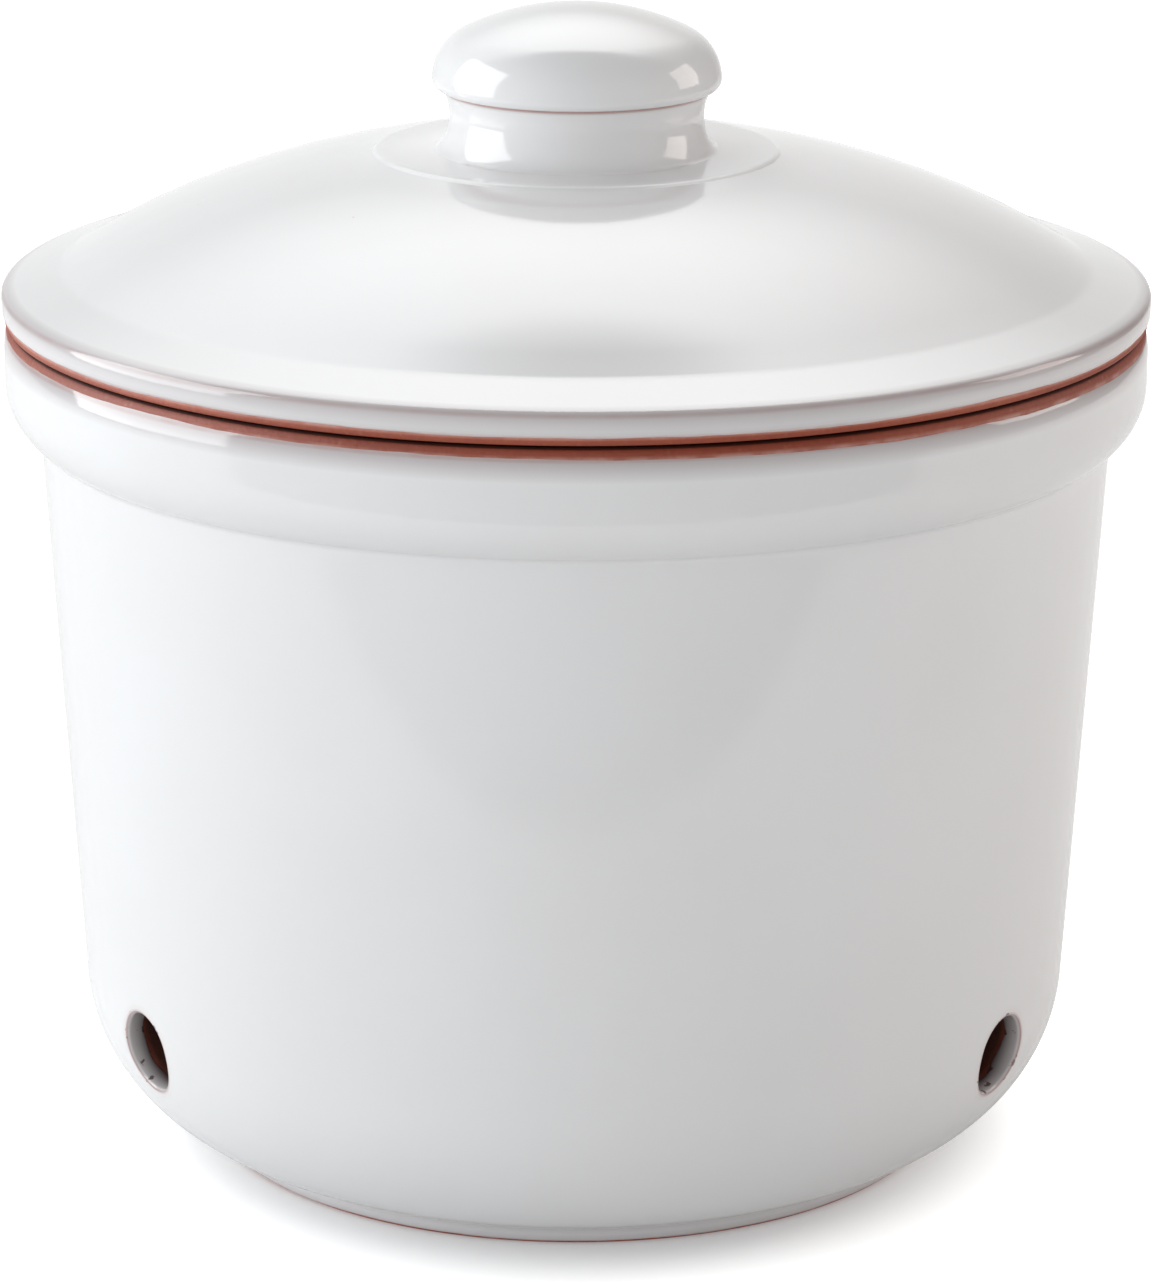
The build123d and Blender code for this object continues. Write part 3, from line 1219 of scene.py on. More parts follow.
@dataclass
class Pot:
    """The pot: foot ring, rounded corner, tapered wall, rolled collar and three vents.

    Sizes are in millimetres and turns in degrees from the front.
    """

    rim_height: float = field(default_factory=lambda: height_of("pot_body"))
    wall_top_radius: float = 112.0
    wall_taper: float = 9.0
    base_corner: float = 35.0
    foot_inset: float = 24.0
    foot_height: float = 2.9
    foot_width: float = 7.5
    foot_bare_height: float = 0.55
    collar_reach: float = 7.2
    collar_height: float = 23.8
    collar_round: float = 12.4
    rim_bare_height: float = 2.4
    seat_slope: float = 0.3
    seat_slope_width: float = 5.0
    wall_thickness: float = 7.5
    base_thickness: float = 9.0
    inner_corner: float = 26.0
    corner_join: float = 1.5
    crease_round: float = 2.0
    foot_side: float = 2.0
    foot_inner_edge: float = 0.6
    foot_outer_edge: float = 0.8
    rim_edge: float = 1.8
    mouth_edge: float = 2.5
    glaze_thickness: float = 0.5
    glaze_sunk: float = 0.2
    foot_glaze_edge: CoatEdge = CoatEdge(0.5)
    rim_glaze_edge: CoatEdge = CoatEdge(0.6, 3.4, 0.85)
    vent_radius: float = 8.4
    vent_lining: float = 0.3
    vent_tuck: float = 0.15
    vent_lip: float = 0.9
    vent_clay_lip: float = 0.5
    vent_margin: float = 4.5
    vent_wander: float = 0.7
    vent_front_rows: tuple[float, ...] = (1.5, 2.5, 3.5)
    vent_back_rows: tuple[float, ...] = (1.5, 2.5)
    vent_back_depth: float = 0.4
    vent_lining_rows: tuple[float, ...] = (1.6, 2.4, 3.2)
    vent_lining_end: tuple[tuple[float, float], ...] = ((0.03, 3.8), (0.10, 4.1), (0.24, 4.3))
    seam_inset: float = 3.0
    vent_height: float = 32.6
    vent_turns: tuple[float, ...] = (-57.8, 57.8, 180.0)
    vent_tilt: float = 12.0
    vent_sector: float = 15.0
    steps: int = 288

    @property
    def crease_height(self) -> float:
        """Height of the crease under the collar."""
        return self.rim_height - self.collar_height

    @property
    def slope(self) -> float:
        """How much the wall's radius grows with each millimetre of height."""
        return self.wall_taper / (self.crease_height - self.foot_height)

    @property
    def lean(self) -> float:
        """How far the wall leans outwards, as an angle."""
        return math.atan(self.slope)

    @property
    def floor_height(self) -> float:
        """Height of the floor inside."""
        return self.foot_height + self.base_thickness

    @property
    def glaze_top(self) -> float:
        """Height on the collar at which the glaze ends."""
        return self.rim_height - self.rim_bare_height

    @property
    def base_radius(self) -> float:
        """Radius of the wall, produced down to the base."""
        return self.wall_top_radius - self.wall_taper

    @property
    def foot_radius(self) -> float:
        """Outer radius of the foot ring."""
        return self.base_radius - self.foot_inset

    @property
    def collar_radius(self) -> float:
        """Outer radius of the collar."""
        return self.wall_top_radius + self.collar_reach

    def wall_radius(self, height: float) -> float:
        """Radius of the straight wall at a height."""
        return self.base_radius + self.slope * (height - self.foot_height)

    def inner_radius(self, height: float) -> float:
        """Radius of the inside of the wall at a height."""
        return self.wall_radius(height) - self.wall_thickness * math.hypot(1, self.slope)

    def corner_centre(self) -> Vector:
        """Find the centre of the rounded corner between wall and base.

        Returns:
            Its radius and height.
        """
        inset = self.base_corner * (1 - math.sin(self.lean)) / math.cos(self.lean)
        return Vector((self.base_radius - inset, self.foot_height + self.base_corner))

    def outside_at(self, height: float, proud: float = 0.0) -> float:
        """Find the radius of the outside, or of a surface that stands proud of it.

        Args:
            height: Height above the table.
            proud: How far the surface stands out, with less than 0 for inwards.

        Returns:
            The radius.
        """
        centre = self.corner_centre()
        corner = self.base_corner + proud
        drop = centre.y - height
        if drop > corner * math.sin(self.lean):
            return centre.x + math.sqrt(max(0.0, corner**2 - drop**2))
        return self.wall_radius(height) + proud * math.hypot(1, self.slope)

    def inside_at(self, height: float) -> float:
        """Find the radius of the inside, with the round between wall and floor.

        Args:
            height: Height above the table.

        Returns:
            The radius.
        """
        inset = self.inner_corner * (1 - math.sin(self.lean)) / math.cos(self.lean)
        start = self.inner_radius(self.floor_height) - inset
        drop = self.floor_height + self.inner_corner - height
        if drop > self.inner_corner * math.sin(self.lean):
            return start + math.sqrt(max(0.0, self.inner_corner**2 - drop**2))
        return self.inner_radius(height)

    def outside(self, start_height: float, end_height: float) -> Outline:
        """Draw the outside of the clay from the foot up to the collar.

        Args:
            start_height: Height on the foot ring at which it starts.
            end_height: Height on the collar at which it ends.

        Returns:
            The open outline.
        """
        centre = self.corner_centre()
        reach = self.foot_radius - centre.x
        rise = centre.y - math.sqrt(self.base_corner**2 - reach**2)
        corner_top = centre.y - self.base_corner * math.sin(self.lean)
        curl = math.sqrt(self.collar_round**2 - (self.collar_round - self.collar_reach) ** 2)
        curl_top = self.crease_height + curl
        pen = Outline.start(self.foot_radius, start_height)
        pen.line(self.foot_radius, rise)
        pen.arc(self.wall_radius(corner_top), corner_top, self.base_corner, self.corner_join)
        pen.line(self.wall_top_radius, self.crease_height)
        pen.arc(self.collar_radius, curl_top, self.collar_round, self.crease_round)
        pen.row_gap = FINE_ROWS
        return pen.line(self.collar_radius, end_height)

    def clay_section(self) -> Outline:
        """Draw the whole section of the clay.

        Returns:
            The outline from the axis underneath to the axis inside.
        """
        bare = Outline.start(0.0, self.foot_height, HIDDEN_ROWS)
        bare.line(self.foot_radius - self.foot_width, self.foot_height)
        bare.line(self.foot_radius - self.foot_width, 0.0, self.foot_inner_edge)
        bare.line(self.foot_radius, 0.0, self.foot_outer_edge)
        bare.line(self.foot_radius, self.foot_side, self.foot_outer_edge)
        outside = self.outside(self.foot_side, self.rim_height - self.seat_slope)
        pen = Outline(bare.points + outside.points[1:], RIM_ROWS)
        pen.line(self.collar_radius - self.seat_slope_width, self.rim_height, self.rim_edge)
        pen.line(self.inner_radius(self.rim_height), self.rim_height)
        pen.line(self.inner_radius(self.floor_height), self.floor_height, self.mouth_edge)
        pen.row_gap = HIDDEN_ROWS
        return pen.line(0.0, self.floor_height, self.inner_corner)

    def vents(self) -> list[Vent]:
        """The three vents."""
        wall = self.wall_radius(self.vent_height)
        return [
            Vent(turn, self.vent_height, wall, self.vent_radius, self.vent_tilt)
            for turn in self.vent_turns
        ]

    def turned_with_vents(
        self, section: Outline, closed: bool, open_vent: Callable[[Mesh, Vent], None]
    ) -> Mesh:
        """Turn a section in sectors and open a vent in the middle of three of them.

        Args:
            section: The half-section.
            closed: Whether its last point joins its first.
            open_vent: Opens one vent in its sector.

        Returns:
            The closed mesh.
        """
        lathe = Lathe(section, closed, self.steps)
        vents = self.vents()
        parts = []
        for vent, following in zip(vents, vents[1:] + vents[:1]):
            start, end = vent.turn - self.vent_sector, vent.turn + self.vent_sector
            part = lathe.sector(start, end)
            open_vent(part, vent)
            parts.append(part)
            rest = (following.turn - self.vent_sector - end) % 360
            parts.append(lathe.sector(end, end + rest))
        return joined(parts)

    def open_clay(self, part: Mesh, vent: Vent) -> None:
        """Open one vent through the clay of its sector.

        Args:
            part: The sector.
            vent: The vent in the middle of it.
        """
        hole = self.vent_radius + self.vent_lining
        rings = rounded_lip(hole, self.vent_clay_lip)
        rings += [(hole, depth) for depth in self.vent_front_rows]
        front = vent.open_skin(part, self.outside_at, rings, self.vent_margin)
        rings = [(reach, -depth) for reach, depth in rounded_lip(hole, self.vent_lip)]
        rings += [(hole, -depth) for depth in self.vent_back_rows]
        back = vent.open_skin(part, self.inside_at, rings, self.vent_margin)
        bmesh.ops.bridge_loops(part, edges=front + back)

    def open_glaze(self, part: Mesh, vent: Vent) -> None:
        """Open one vent through the glaze of its sector, with a lining that runs into it.

        Args:
            part: The sector.
            vent: The vent in the middle of it.
        """

        def sunk(height: float) -> float:
            """Radius of the coat's hidden back at a height."""
            return self.outside_at(height, -self.glaze_sunk)

        def proud(height: float) -> float:
            """Radius of the coat's face at a height."""
            return self.outside_at(height, self.glaze_thickness)

        hole = self.vent_radius
        hidden = hole + self.vent_lining + self.vent_tuck
        rings = [(hidden, 0.0), (hidden, self.vent_back_depth)]
        back = vent.open_skin(part, sunk, rings, self.vent_margin)
        rings = rounded_lip(hole, self.vent_lip)
        rings += [(hole, depth) for depth in self.vent_lining_rows]
        rings += [(hole + out, depth) for out, depth in self.vent_lining_end]
        rings.append((hidden, rings[-1][1]))
        front = vent.open_skin(part, proud, rings, self.vent_margin, self.vent_wander)
        bmesh.ops.bridge_loops(part, edges=front + back)

    def build_clay(self, material: Material) -> Piece:
        """Turn the clay and open its vents."""
        mesh = self.turned_with_vents(self.clay_section(), False, self.open_clay)
        return finished_piece("pot_clay", mesh, material, Body.POT, "pot_body")

    def build_glaze(self, material: Material) -> Piece:
        """Turn the glaze coat, open its vents and line them.

        Args:
            material: The glaze.

        Returns:
            The piece.
        """
        section = self.outside(self.foot_bare_height, self.glaze_top).coated(
            self.glaze_thickness, self.glaze_sunk, self.foot_glaze_edge, self.rim_glaze_edge
        )
        mesh = self.turned_with_vents(section, True, self.open_glaze)
        Wander(self.glaze_top, reach=3.0, amount=0.35, seed=3.0, lean=0.4).apply(mesh)
        Wander(self.foot_bare_height, reach=1.0, amount=0.15, seed=7.0).apply(mesh)
        return finished_piece(
            "pot_glaze_coat", mesh, material, Body.POT, "pot_glaze"
        )

    def thin_and_shaded_edges(self) -> list[ThinAndShadedEdge]:
        """List where the glaze runs thin on the pot, and where shade is painted on it.

        Returns:
            The collar's glaze edge, with painted shade below the lid, the foot's, and painted
            shade round the hollow above the foot.
        """
        collar = self.collar_radius + self.glaze_thickness
        return [
            # thin glaze at the collar's edge; its wide, strong veil is painted shade below the
            # lid's edge as well
            ThinAndShadedEdge(
                collar, self.glaze_top, line_reach=0.7, line_strength=0.5, veil_and_shade_reach=4.6,
                veil_and_shade_strength=0.95, breaks=0.5,
            ),
            ThinAndShadedEdge(
                self.foot_radius + 0.3, self.foot_bare_height, line_reach=0.5, line_strength=0.65,
                veil_and_shade_reach=1.6, veil_and_shade_strength=0.7, breaks=0.5,
            ),
            # painted shade: the glaze greys round the lower corner just above the foot
            ThinAndShadedEdge(self.foot_radius, self.foot_height, veil_and_shade_reach=9.0, veil_and_shade_strength=0.3),
        ]

    def dusted_edges(self) -> list[ThinAndShadedEdge]:
        """Where the bare clay is dusted with glaze."""
        dust = ThinAndShadedEdge(
            self.collar_radius, self.glaze_top, line_reach=0.8, line_strength=0.6, breaks=0.7
        )
        return [dust]

    def seam(self) -> ThinAndShadedEdge:
        """Painted shade in the seam between the rim and the lid's seat."""
        radius = self.collar_radius - self.seam_inset
        return ThinAndShadedEdge(radius, self.rim_height, line_reach=2.6, line_strength=0.8)

    def shade(self) -> ThinAndShadedEdge:
        """Where the rim's clay darkens towards the seam."""
        edge, top = self.collar_radius + 0.2, self.rim_height + 0.5
        return ThinAndShadedEdge(edge, top, veil_and_shade_reach=4.2, veil_and_shade_strength=0.55)


@dataclass
class Lid:
    """The lid: bevelled flange, domed top, pad for the knob, and locating ring.

    Sizes are in millimetres.
    """

    seat_height: float = field(default_factory=lambda: height_of("pot_body"))
    pad_height: float = field(default_factory=lambda: height_of("lid_body"))
    radius: float = 119.5
    edge_height: float = 6.3
    bare_height: float = 1.9
    flange_width: float = 12.2
    flange_rise: float = 3.8
    valley_round: float = 8.0
    dome_radius: float = 168.0
    pad_radius: float = 41.8
    pad_step: float = 0.5
    pad_bevel: float = 0.2
    pad_seat_out: float = 0.5
    pad_seat_sunk: float = 0.1
    thickness: float = 7.5
    ring_outer: float = 104.1
    ring_width: float = 6.5
    ring_depth: float = 9.0
    ceiling_round: float = 6.0
    seat_slope: float = 0.35
    seat_slope_width: float = 6.0
    corner_edge: float = 1.3
    pad_edge: float = 0.9
    ring_edge: float = 2.0
    seat_edge: float = 0.8
    bare_edge: float = 0.7
    glaze_start_radius: float = 27.0
    glaze_thickness: float = 0.5
    glaze_sunk: float = 0.2
    low_glaze_edge: CoatEdge = CoatEdge(0.7, 2.0, 0.3)
    hidden_glaze_edge: CoatEdge = CoatEdge(0.3)
    steps: int = 288

    @property
    def glaze_low(self) -> float:
        """Height on the edge at which the glaze ends."""
        return self.seat_height + self.bare_height

    @property
    def edge_top(self) -> float:
        """Height of the top of the lid's edge."""
        return self.seat_height + self.edge_height

    def dome_centre(self) -> Vector:
        """Find the centre of the arc that shapes the dome.

        Returns:
            Its radius and height.
        """
        low = Vector((self.radius - self.flange_width, self.edge_top + self.flange_rise))
        high = Vector((self.pad_radius, self.pad_height - self.pad_step))
        half = (high - low) / 2
        lift = math.sqrt(self.dome_radius**2 - half.length_squared)
        return low + half + left_of(half) * lift

    def top_path(self, end_radius: float, start_height: float) -> Outline:
        """Draw the top of the clay from its edge up and in to the pad.

        Args:
            end_radius: Radius on the pad at which it ends.
            start_height: Height on the edge at which it starts.

        Returns:
            The open outline.
        """
        pad_foot = self.pad_height - self.pad_step
        valley = self.radius - self.flange_width
        pen = Outline.start(self.radius, start_height)
        pen.line(self.radius, self.edge_top)
        pen.line(valley, self.edge_top + self.flange_rise, self.corner_edge)
        pen.arc(
            self.pad_radius + self.pad_seat_out, pad_foot - self.pad_seat_sunk, self.dome_radius,
            self.valley_round,
        )
        pen.line(self.pad_radius - self.pad_bevel, self.pad_height, self.pad_edge)
        return pen.line(end_radius, self.pad_height, self.pad_edge)

    def clay_section(self) -> Outline:
        """Draw the whole section of the clay.

        Returns:
            The outline from the axis underneath to the axis on top.
        """
        centre = self.dome_centre()
        under = self.dome_radius - self.thickness
        ring_inner = self.ring_outer - self.ring_width
        ring_bottom = self.seat_height - self.ring_depth
        ceiling = centre.y + math.sqrt(under**2 - (self.pad_radius - centre.x) ** 2)
        spring = centre.y + math.sqrt(under**2 - (ring_inner - centre.x) ** 2)
        pen = Outline.start(0.0, ceiling, DOME_ROWS)
        pen.line(self.pad_radius, ceiling)
        pen.arc(ring_inner, spring, -under)
        pen.line(ring_inner, ring_bottom, self.ceiling_round)
        pen.line(self.ring_outer, ring_bottom, self.ring_edge)
        pen.line(self.ring_outer, self.seat_height, self.ring_edge)
        pen.line(self.radius - self.seat_slope_width, self.seat_height, self.seat_edge)
        pen.line(self.radius, self.seat_height + self.seat_slope)
        pen.line(self.radius, self.glaze_low, self.bare_edge)
        return Outline(pen.points + self.top_path(0.0, self.glaze_low).points[1:])

    def build_clay(self, material: Material) -> Piece:
        """Turn the clay."""
        mesh = Lathe(self.clay_section(), False, self.steps).whole()
        return finished_piece("lid_clay", mesh, material, Body.LID, "lid_body")

    def build_glaze(self, material: Material) -> Piece:
        """Turn the glaze coat and let its low edge wander.

        Args:
            material: The glaze.

        Returns:
            The piece.
        """
        section = self.top_path(self.glaze_start_radius, self.glaze_low).coated(
            self.glaze_thickness, self.glaze_sunk, self.low_glaze_edge, self.hidden_glaze_edge
        )
        mesh = Lathe(section, True, self.steps).whole()
        Wander(self.glaze_low, reach=2.5, amount=0.3, seed=5.0).apply(mesh)
        return finished_piece(
            "lid_glaze_coat", mesh, material, Body.LID, "lid_glaze"
        )

    def thin_and_shaded_edges(self) -> list[ThinAndShadedEdge]:
        """List where the glaze runs thin on the lid, and where shade is painted on it.

        Returns:
            The outer corner, whose wide veil is painted shade as well, and the low edge of the
            glaze.
        """
        edge = self.radius + self.glaze_thickness
        return [
            # thin glaze at the outer corner; its wide, strong veil is painted shade as well
            ThinAndShadedEdge(
                edge - 0.3, self.edge_top - 0.1, line_reach=0.6, line_strength=0.2, veil_and_shade_reach=3.0,
                veil_and_shade_strength=0.85, breaks=0.6,
            ),
            ThinAndShadedEdge(
                edge, self.glaze_low, line_reach=0.6, line_strength=0.4, veil_and_shade_reach=3.6,
                veil_and_shade_strength=0.45, breaks=0.5,
            ),
        ]

    def dusted_edges(self) -> list[ThinAndShadedEdge]:
        """Where the bare clay is dusted with glaze."""
        dust = ThinAndShadedEdge(
            self.radius, self.glaze_low, line_reach=0.6, line_strength=0.5, breaks=0.4
        )
        return [dust]

    def shade(self) -> ThinAndShadedEdge:
        """Where the clay of the lid's edge darkens towards the seam."""
        return ThinAndShadedEdge(self.radius, self.seat_height, veil_and_shade_reach=1.5, veil_and_shade_strength=0.4)


@dataclass
class Knob:
    """The mushroom knob: hollow neck, sharp lip, round side and flatter crown.

    Sizes are in millimetres.
    """

    foot_height: float = field(default_factory=lambda: height_of("lid_body"))
    top_height: float = field(default_factory=lambda: height_of("lid_knob"))
    waist_radius: float = 26.0
    waist_rise: float = 7.7
    neck_hollow: float = 11.5
    neck_rise: float = 5.8
    lip_overhang: float = 0.4
    cap_reach: float = 3.6
    cap_rise: float = 1.8
    side_round: float = 10.4
    lip_edge: float = 0.12
    glaze_thickness: float = 0.5
    glaze_sunk: float = 0.2
    glaze_flare: float = 3.0
    glaze_flare_sunk: float = 0.1
    glaze_back_sunk: float = 0.05
    glaze_foot_round: float = 1.6
    glaze_lip_out: float = 0.22
    glaze_lip_drop: float = 0.4
    glaze_lip_under: float = 0.3
    glaze_lip_edge: float = 0.15
    steps: int = 192

    def neck_radius(self, away: float) -> float:
        """Radius of the hollow neck at a distance above or below its waist."""
        return self.waist_radius + self.neck_hollow - math.sqrt(self.neck_hollow**2 - away**2)

    @property
    def lip_height(self) -> float:
        """Height of the sharp lip under the cap."""
        return self.foot_height + self.waist_rise + self.neck_rise

    @property
    def lip_radius(self) -> float:
        """Radius of the sharp lip under the cap."""
        return self.neck_radius(self.neck_rise) + self.lip_overhang

    @property
    def cap_radius(self) -> float:
        """Radius of the cap's clay at its widest."""
        return self.waist_radius + self.cap_reach

    @property
    def side_height(self) -> float:
        """Height at which the cap is widest."""
        return self.lip_height + self.cap_rise

    def cap(self, pen: Outline, proud: float, lip_edge: float) -> Outline:
        """Draw the cap, from its lip out round its side and over its crown.

        Args:
            pen: The outline so far, which has come to the lip.
            proud: How far the cap stands out from the clay's.
            lip_edge: Radius of the round at the lip.

        Returns:
            The same outline.
        """
        crown = self.top_height - self.side_height
        side = self.cap_radius - self.side_round
        crown_round = (side**2 + crown**2 - self.side_round**2) / (2 * (crown - self.side_round))
        centre = self.top_height - crown_round
        turn = math.atan2(self.side_height - centre, side)
        outer = crown_round + proud
        lip = pen.points[-1]
        reach = self.cap_radius + proud - lip.x
        lip_round = (reach**2 + (self.side_height - lip.y) ** 2) / (2 * reach)
        pen.arc(self.cap_radius + proud, self.side_height, lip_round, lip_edge)
        side_top = centre + outer * math.sin(turn)
        pen.arc(outer * math.cos(turn), side_top, self.side_round + proud)
        return pen.arc(0.0, self.top_height + proud, outer)

    def path(self, foot_height: float) -> Outline:
        """Draw the outside of the knob's clay, from its foot to the top of its crown.

        Args:
            foot_height: Height at which the neck starts.

        Returns:
            The open outline.
        """
        waist = self.foot_height + self.waist_rise
        pen = Outline.start(self.neck_radius(waist - foot_height), foot_height)
        pen.arc(self.neck_radius(self.neck_rise), self.lip_height, -self.neck_hollow)
        pen.line(self.lip_radius, self.lip_height)
        return self.cap(pen, 0.0, self.lip_edge)

    def glaze_path(self) -> Outline:
        """Draw the outside of the glaze, which flares out on to the lid's own glaze.

        Returns:
            The open outline.
        """
        pad = self.foot_height + self.glaze_thickness
        waist = self.foot_height + self.waist_rise
        hollow = self.neck_hollow - self.glaze_thickness
        lip_radius = self.lip_radius + self.glaze_lip_out
        lip_height = self.lip_height - self.glaze_lip_drop
        centre = self.waist_radius + self.neck_hollow
        foot_radius = centre - math.sqrt(hollow**2 - (waist - pad) ** 2)
        neck_top = centre - math.sqrt(hollow**2 - (lip_height - waist) ** 2)
        pen = Outline.start(foot_radius + self.glaze_flare, pad - self.glaze_flare_sunk)
        pen.line(foot_radius, pad)
        pen.arc(neck_top, lip_height, -hollow, self.glaze_foot_round)
        pen.line(lip_radius, lip_height, self.glaze_lip_under)
        return self.cap(pen, self.glaze_thickness, self.glaze_lip_edge)

    def build_clay(self, material: Material) -> Piece:
        """Turn the clay.

        Args:
            material: The clay.

        Returns:
            The piece.
        """
        foot = Outline.start(0.0, self.foot_height, HIDDEN_ROWS)
        foot.line(self.neck_radius(self.waist_rise), self.foot_height)
        section = Outline(foot.points + self.path(self.foot_height).points[1:])
        mesh = Lathe(section, False, self.steps).whole()
        return finished_piece("knob_clay", mesh, material, Body.LID, "lid_knob")

    def build_glaze(self, material: Material) -> Piece:
        """Turn the glaze coat.

        Args:
            material: The glaze.

        Returns:
            The piece.
        """
        back = self.path(self.foot_height - self.glaze_back_sunk).moved_out(-self.glaze_sunk)
        back.points[-1].x = 0.0
        section = Outline(self.glaze_path().points + back.points[::-1])
        mesh = Lathe(section, True, self.steps).whole()
        return finished_piece(
            "knob_glaze_coat", mesh, material, Body.LID, "knob_glaze"
        )

    def thin_and_shaded_edges(self) -> list[ThinAndShadedEdge]:
        """Where the glaze runs thin on the knob."""
        lip = ThinAndShadedEdge(
            self.lip_radius + self.glaze_lip_out, self.lip_height - self.glaze_lip_drop,
            line_reach=0.85, line_strength=1.0, veil_and_shade_reach=1.4, veil_and_shade_strength=0.6, breaks=0.1,
        )
        return [lip]


class Shines(Enum):
    """What a lamp does: light the pot, mirror in its glaze, or both."""

    AS_LIGHT = "light"
    IN_GLAZE = "glaze"
    BOTH = "both"


@dataclass(frozen=True)
class SoftBox:
    """A large soft lamp, aimed at the pot, with its angles in degrees and sizes in metres."""

    name: str
    azimuth: float
    elevation: float
    distance: float
    width: float
    height: float
    brightness: float
    colour: tuple[float, float, float]
    shines: Shines

    def build(self, aim: Vector) -> Piece:
        """Hang the lamp.

        Args:
            aim: The point that it faces.

        Returns:
            The lamp.
        """
        light = bpy.data.lights.new(self.name, "AREA")
        light.shape = "RECTANGLE"
        light.size = self.width
        light.size_y = self.height
        light.energy = math.pi * self.width * self.height * self.brightness
        light.color = self.colour
        lamp = bpy.data.objects.new(self.name, light)
        lamp.visible_glossy = self.shines is not Shines.AS_LIGHT
        lamp.visible_diffuse = self.shines is not Shines.IN_GLAZE
        bpy.context.scene.collection.objects.link(lamp)
        turn, rise = math.radians(self.azimuth), math.radians(self.elevation)
        away = Vector(
            (math.sin(turn) * math.cos(rise), -math.cos(turn) * math.cos(rise), math.sin(rise))
        )
        lamp.location = aim + away * self.distance
        lamp.rotation_euler = away.to_track_quat("Z", "Y").to_euler()
        return lamp


@dataclass
class Studio:
    """White sweep, soft boxes and the camera at the photograph's angle.

    Sizes are in metres and angles in radians, the sensor is in millimetres, and the picture
    and focal length are in pixels. The room lights the pot softly from all sides, and the
    mirrored panel is what shows in its glaze.
    """

    picture_height: float = 1285.0
    sensor_width: float = 36.0
    focal_pixels: float = 5275.15
    camera_distance: float = 1.08305
    camera_height: float = 0.42242
    camera_side: float = 0.00032
    camera_pitch: float = 0.284796
    camera_roll: float = 0.0035
    aim_height: float = 0.12
    floor_colour: float = 0.8
    shadow_squeeze: float = 1.1
    shadow_edge: tuple[float, float] = (0.080, 0.112)
    glow_at_foot: float = 0.2
    glow_beyond: float = 0.75
    glow_in_glaze: float = 0.15
    table_half_width: float = 0.9
    table_front: float = -0.32
    table_back: float = 1.5
    table_cells: int = 8
    room_left: float = 0.85
    room_right: float = 0.04
    room_front: float = 0.28
    room_below: float = 0.2
    room_edge: tuple[float, float] = (-0.3, 1.0)
    room_below_edge: tuple[float, float] = (-0.3, 0.1)
    mirrored_far_left: float = 0.42
    mirrored_left: float = 1.0
    mirrored_right: float = 0.2
    mirrored_inward: tuple[float, float] = (-0.65, 0.0)
    mirrored_across: tuple[float, float] = (0.08, 0.68)
    mirrored_behind: tuple[float, float] = (0.0, 0.35)
    panel_glow: float = 3.2
    panel_rise: tuple[float, float] = (0.34, 0.84)
    panel_end: tuple[float, float] = (0.87, 0.975)
    boxes: tuple[SoftBox, ...] = (
        SoftBox(
            "left_box", -90.0, 16.5, 1.5, 1.25, 1.4, 4.8, (0.96, 0.985, 1.0), Shines.IN_GLAZE
        ),
        SoftBox("left_fill", -95.0, 8.0, 1.5, 1.2, 0.6, 3.3, (0.91, 0.96, 1.0), Shines.AS_LIGHT),
        SoftBox(
            "front_left_fill", -50.0, 15.0, 1.7, 1.4, 1.4, 0.6, (0.89, 0.95, 1.0), Shines.AS_LIGHT
        ),
        SoftBox("front_fill", 0.0, 4.0, 1.8, 1.6, 0.5, 0.22, (1.0, 1.0, 1.0), Shines.AS_LIGHT),
        SoftBox(
            "front_right_fill", 50.0, 10.0, 1.8, 1.0, 0.8, 1.6, (1.0, 0.97, 0.95), Shines.AS_LIGHT
        ),
        SoftBox("right_box", 100.0, 18.0, 1.6, 0.7, 0.85, 3.3, (1.0, 0.905, 0.845), Shines.BOTH),
        SoftBox(
            "back_fill", 189.0, 49.8, 1.55, 1.8, 0.99, 2.1, (1.0, 0.99, 0.975), Shines.AS_LIGHT
        ),
    )

    def build(self) -> None:
        """Set the light, the floor and the camera."""
        aim = Vector((0.0, 0.0, self.aim_height))
        for box in self.boxes:
            box.build(aim)
        self._world()
        self._floor()
        self._camera()
        bpy.context.scene.view_settings.view_transform = "Standard"

    def _world(self) -> None:
        """White behind the pot where it is seen, and a plain room light elsewhere."""
        world = bpy.data.worlds.new("sweep")
        bpy.context.scene.world = world
        world.use_nodes = True
        world.node_tree.nodes.clear()
        graph = Graph(world.node_tree)
        side, depth, up = graph.split(graph.node("ShaderNodeTexCoord").outputs["Generated"])
        left, front, below = (graph.math("MULTIPLY", part, -1.0) for part in (side, depth, up))
        levels = (
            (graph.remap(left, *self.room_edge), self.room_left),
            (graph.remap(side, *self.room_edge), self.room_right),
            (graph.remap(front, *self.room_edge), self.room_front),
            (graph.remap(below, *self.room_below_edge), self.room_below),
        )
        room = 0.0
        for share, level in levels:
            room = graph.math("MULTIPLY_ADD", share, level, room)
        rays = graph.node("ShaderNodeLightPath").outputs
        inward = graph.remap(side, *self.mirrored_inward)
        across = graph.remap(side, *self.mirrored_across)
        panel = graph.remap(up, *self.panel_rise)
        mirrored = graph.product(
            rays["Is Glossy Ray"],
            graph.remap(depth, *self.mirrored_behind),
            graph.between(across, self.mirrored_left, self.mirrored_right),
            graph.between(inward, self.mirrored_far_left, 1.0),
            graph.between(panel, 1.0, 1.0 + self.panel_glow),
            graph.math("SUBTRACT", 1.0, graph.remap(up, *self.panel_end)),
        )
        white = graph.math("MAXIMUM", mirrored, graph.seen_straight())
        strength = graph.math("MULTIPLY_ADD", rays["Is Diffuse Ray"], room, white)
        light = graph.node("ShaderNodeBackground", {"Color": (1, 1, 1, 1), "Strength": strength})
        graph.node("ShaderNodeOutputWorld", {"Surface": light.outputs[0]})

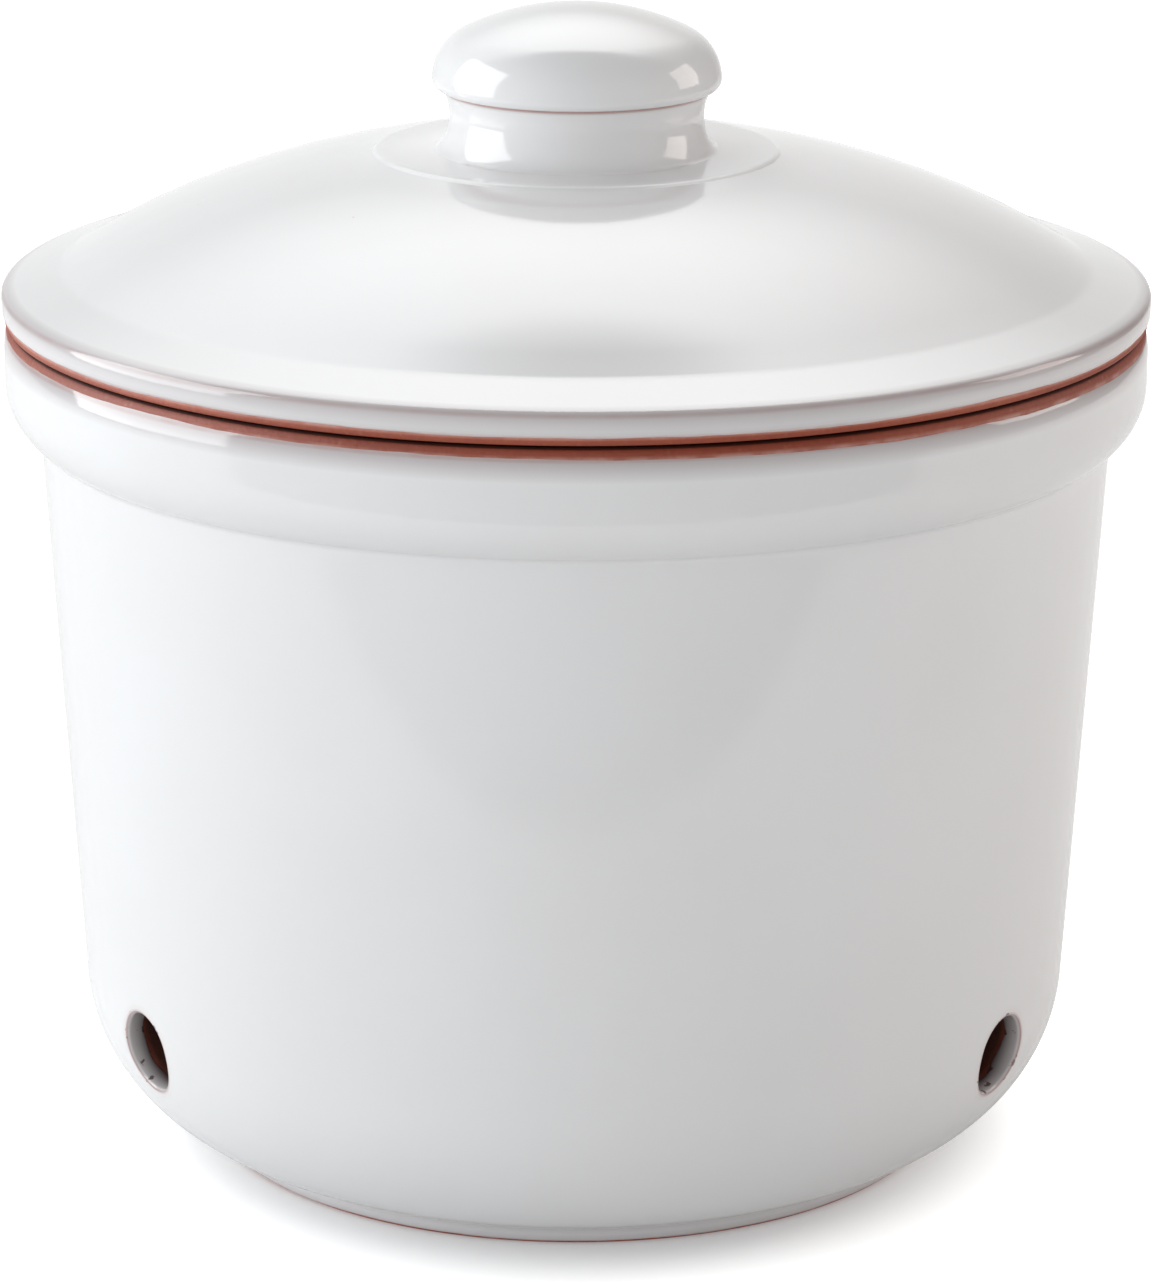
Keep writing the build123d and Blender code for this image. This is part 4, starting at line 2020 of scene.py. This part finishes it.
    def _floor(self) -> None:
        """A wide white table top that keeps the pot's shadow, with a painted glow weaker near the
        foot.
        """
        mesh = bmesh.new()
        cells = self.table_cells
        bmesh.ops.create_grid(mesh, x_segments=cells, y_segments=cells, size=1.0)
        depth = (self.table_back - self.table_front) / 2
        bmesh.ops.scale(mesh, vec=(self.table_half_width, depth, 1.0), verts=mesh.verts)
        bmesh.ops.translate(mesh, vec=(0.0, self.table_front + depth, 0.0), verts=mesh.verts)
        data = bpy.data.meshes.new("floor")
        mesh.to_mesh(data)
        mesh.free()
        floor = bpy.data.objects.new("floor", data)
        bpy.context.scene.collection.objects.link(floor)
        material, graph = new_material("floor_white")
        tone = (self.floor_colour, self.floor_colour, self.floor_colour, 1.0)
        matt = graph.node("ShaderNodeBsdfDiffuse", {"Color": tone})
        squeeze = (self.shadow_squeeze, 1.0, 1.0)
        wide = graph.vector_math("MULTIPLY", graph.object_place(), squeeze).outputs[0]
        # painted light: the floor glows for the camera, less near the foot, which paints the tight
        # edge of the shadow, and glows faintly in reflections
        clear = graph.remap(graph.length(wide), *self.shadow_edge)
        seen = graph.between(clear, self.glow_at_foot, self.glow_beyond)
        glossy = graph.node("ShaderNodeLightPath").outputs["Is Glossy Ray"]
        mirrored = graph.math("MULTIPLY", glossy, self.glow_in_glaze)
        strength = graph.math("MULTIPLY_ADD", graph.seen_straight(), seen, mirrored)
        glow = graph.node("ShaderNodeEmission", {"Color": (1, 1, 1, 1), "Strength": strength})
        lit = graph.node("ShaderNodeAddShader", {0: matt.outputs[0], 1: glow.outputs[0]})
        graph.node("ShaderNodeOutputMaterial", {"Surface": lit.outputs[0]})
        data.materials.append(material)

    def _camera(self) -> None:
        """The camera that the photograph was fitted with."""
        data = bpy.data.cameras.new("camera")
        data.sensor_width = self.sensor_width
        data.lens = self.focal_pixels / self.picture_height * data.sensor_width
        camera = bpy.data.objects.new("camera", data)
        camera.location = (self.camera_side, -self.camera_distance, self.camera_height)
        level = Matrix.Rotation(math.pi / 2 - self.camera_pitch, 4, "X")
        camera.rotation_euler = (level @ Matrix.Rotation(self.camera_roll, 4, "Z")).to_euler()
        bpy.context.scene.collection.objects.link(camera)
        bpy.context.scene.camera = camera


def main() -> None:
    """Build the pot, the lid, the knob and the studio."""
    logging.basicConfig(level=logging.INFO, format="%(name)s %(message)s")
    effects = (TurnedEdge(), VentEdge(), FiredGrain(), GlazeSurface())
    groups = {tree.name: tree for tree in (effect.group() for effect in effects)}
    pot, lid, knob = Pot(), Lid(), Knob()
    glaze, clay = GlazeFinish(), ClayFinish()
    pot_clay = clay.material(
        "pot_red_clay", groups, pot.dusted_edges(), pot.seam(), pot.shade(), pot.vents()
    )
    lid_clay = clay.material(
        "lid_red_clay", groups, lid.dusted_edges(), pot.seam(), lid.shade(), []
    )
    pot.build_clay(pot_clay)
    pot.build_glaze(glaze.material("pot_white_glaze", groups, pot.thin_and_shaded_edges(), pot.vents()))
    lid.build_clay(lid_clay)
    lid.build_glaze(glaze.material("lid_white_glaze", groups, lid.thin_and_shaded_edges(), []))
    knob.build_clay(lid_clay)
    knob.build_glaze(glaze.material("knob_white_glaze", groups, knob.thin_and_shaded_edges(), []))
    Studio().build()


if __name__ == "__main__":
    main()
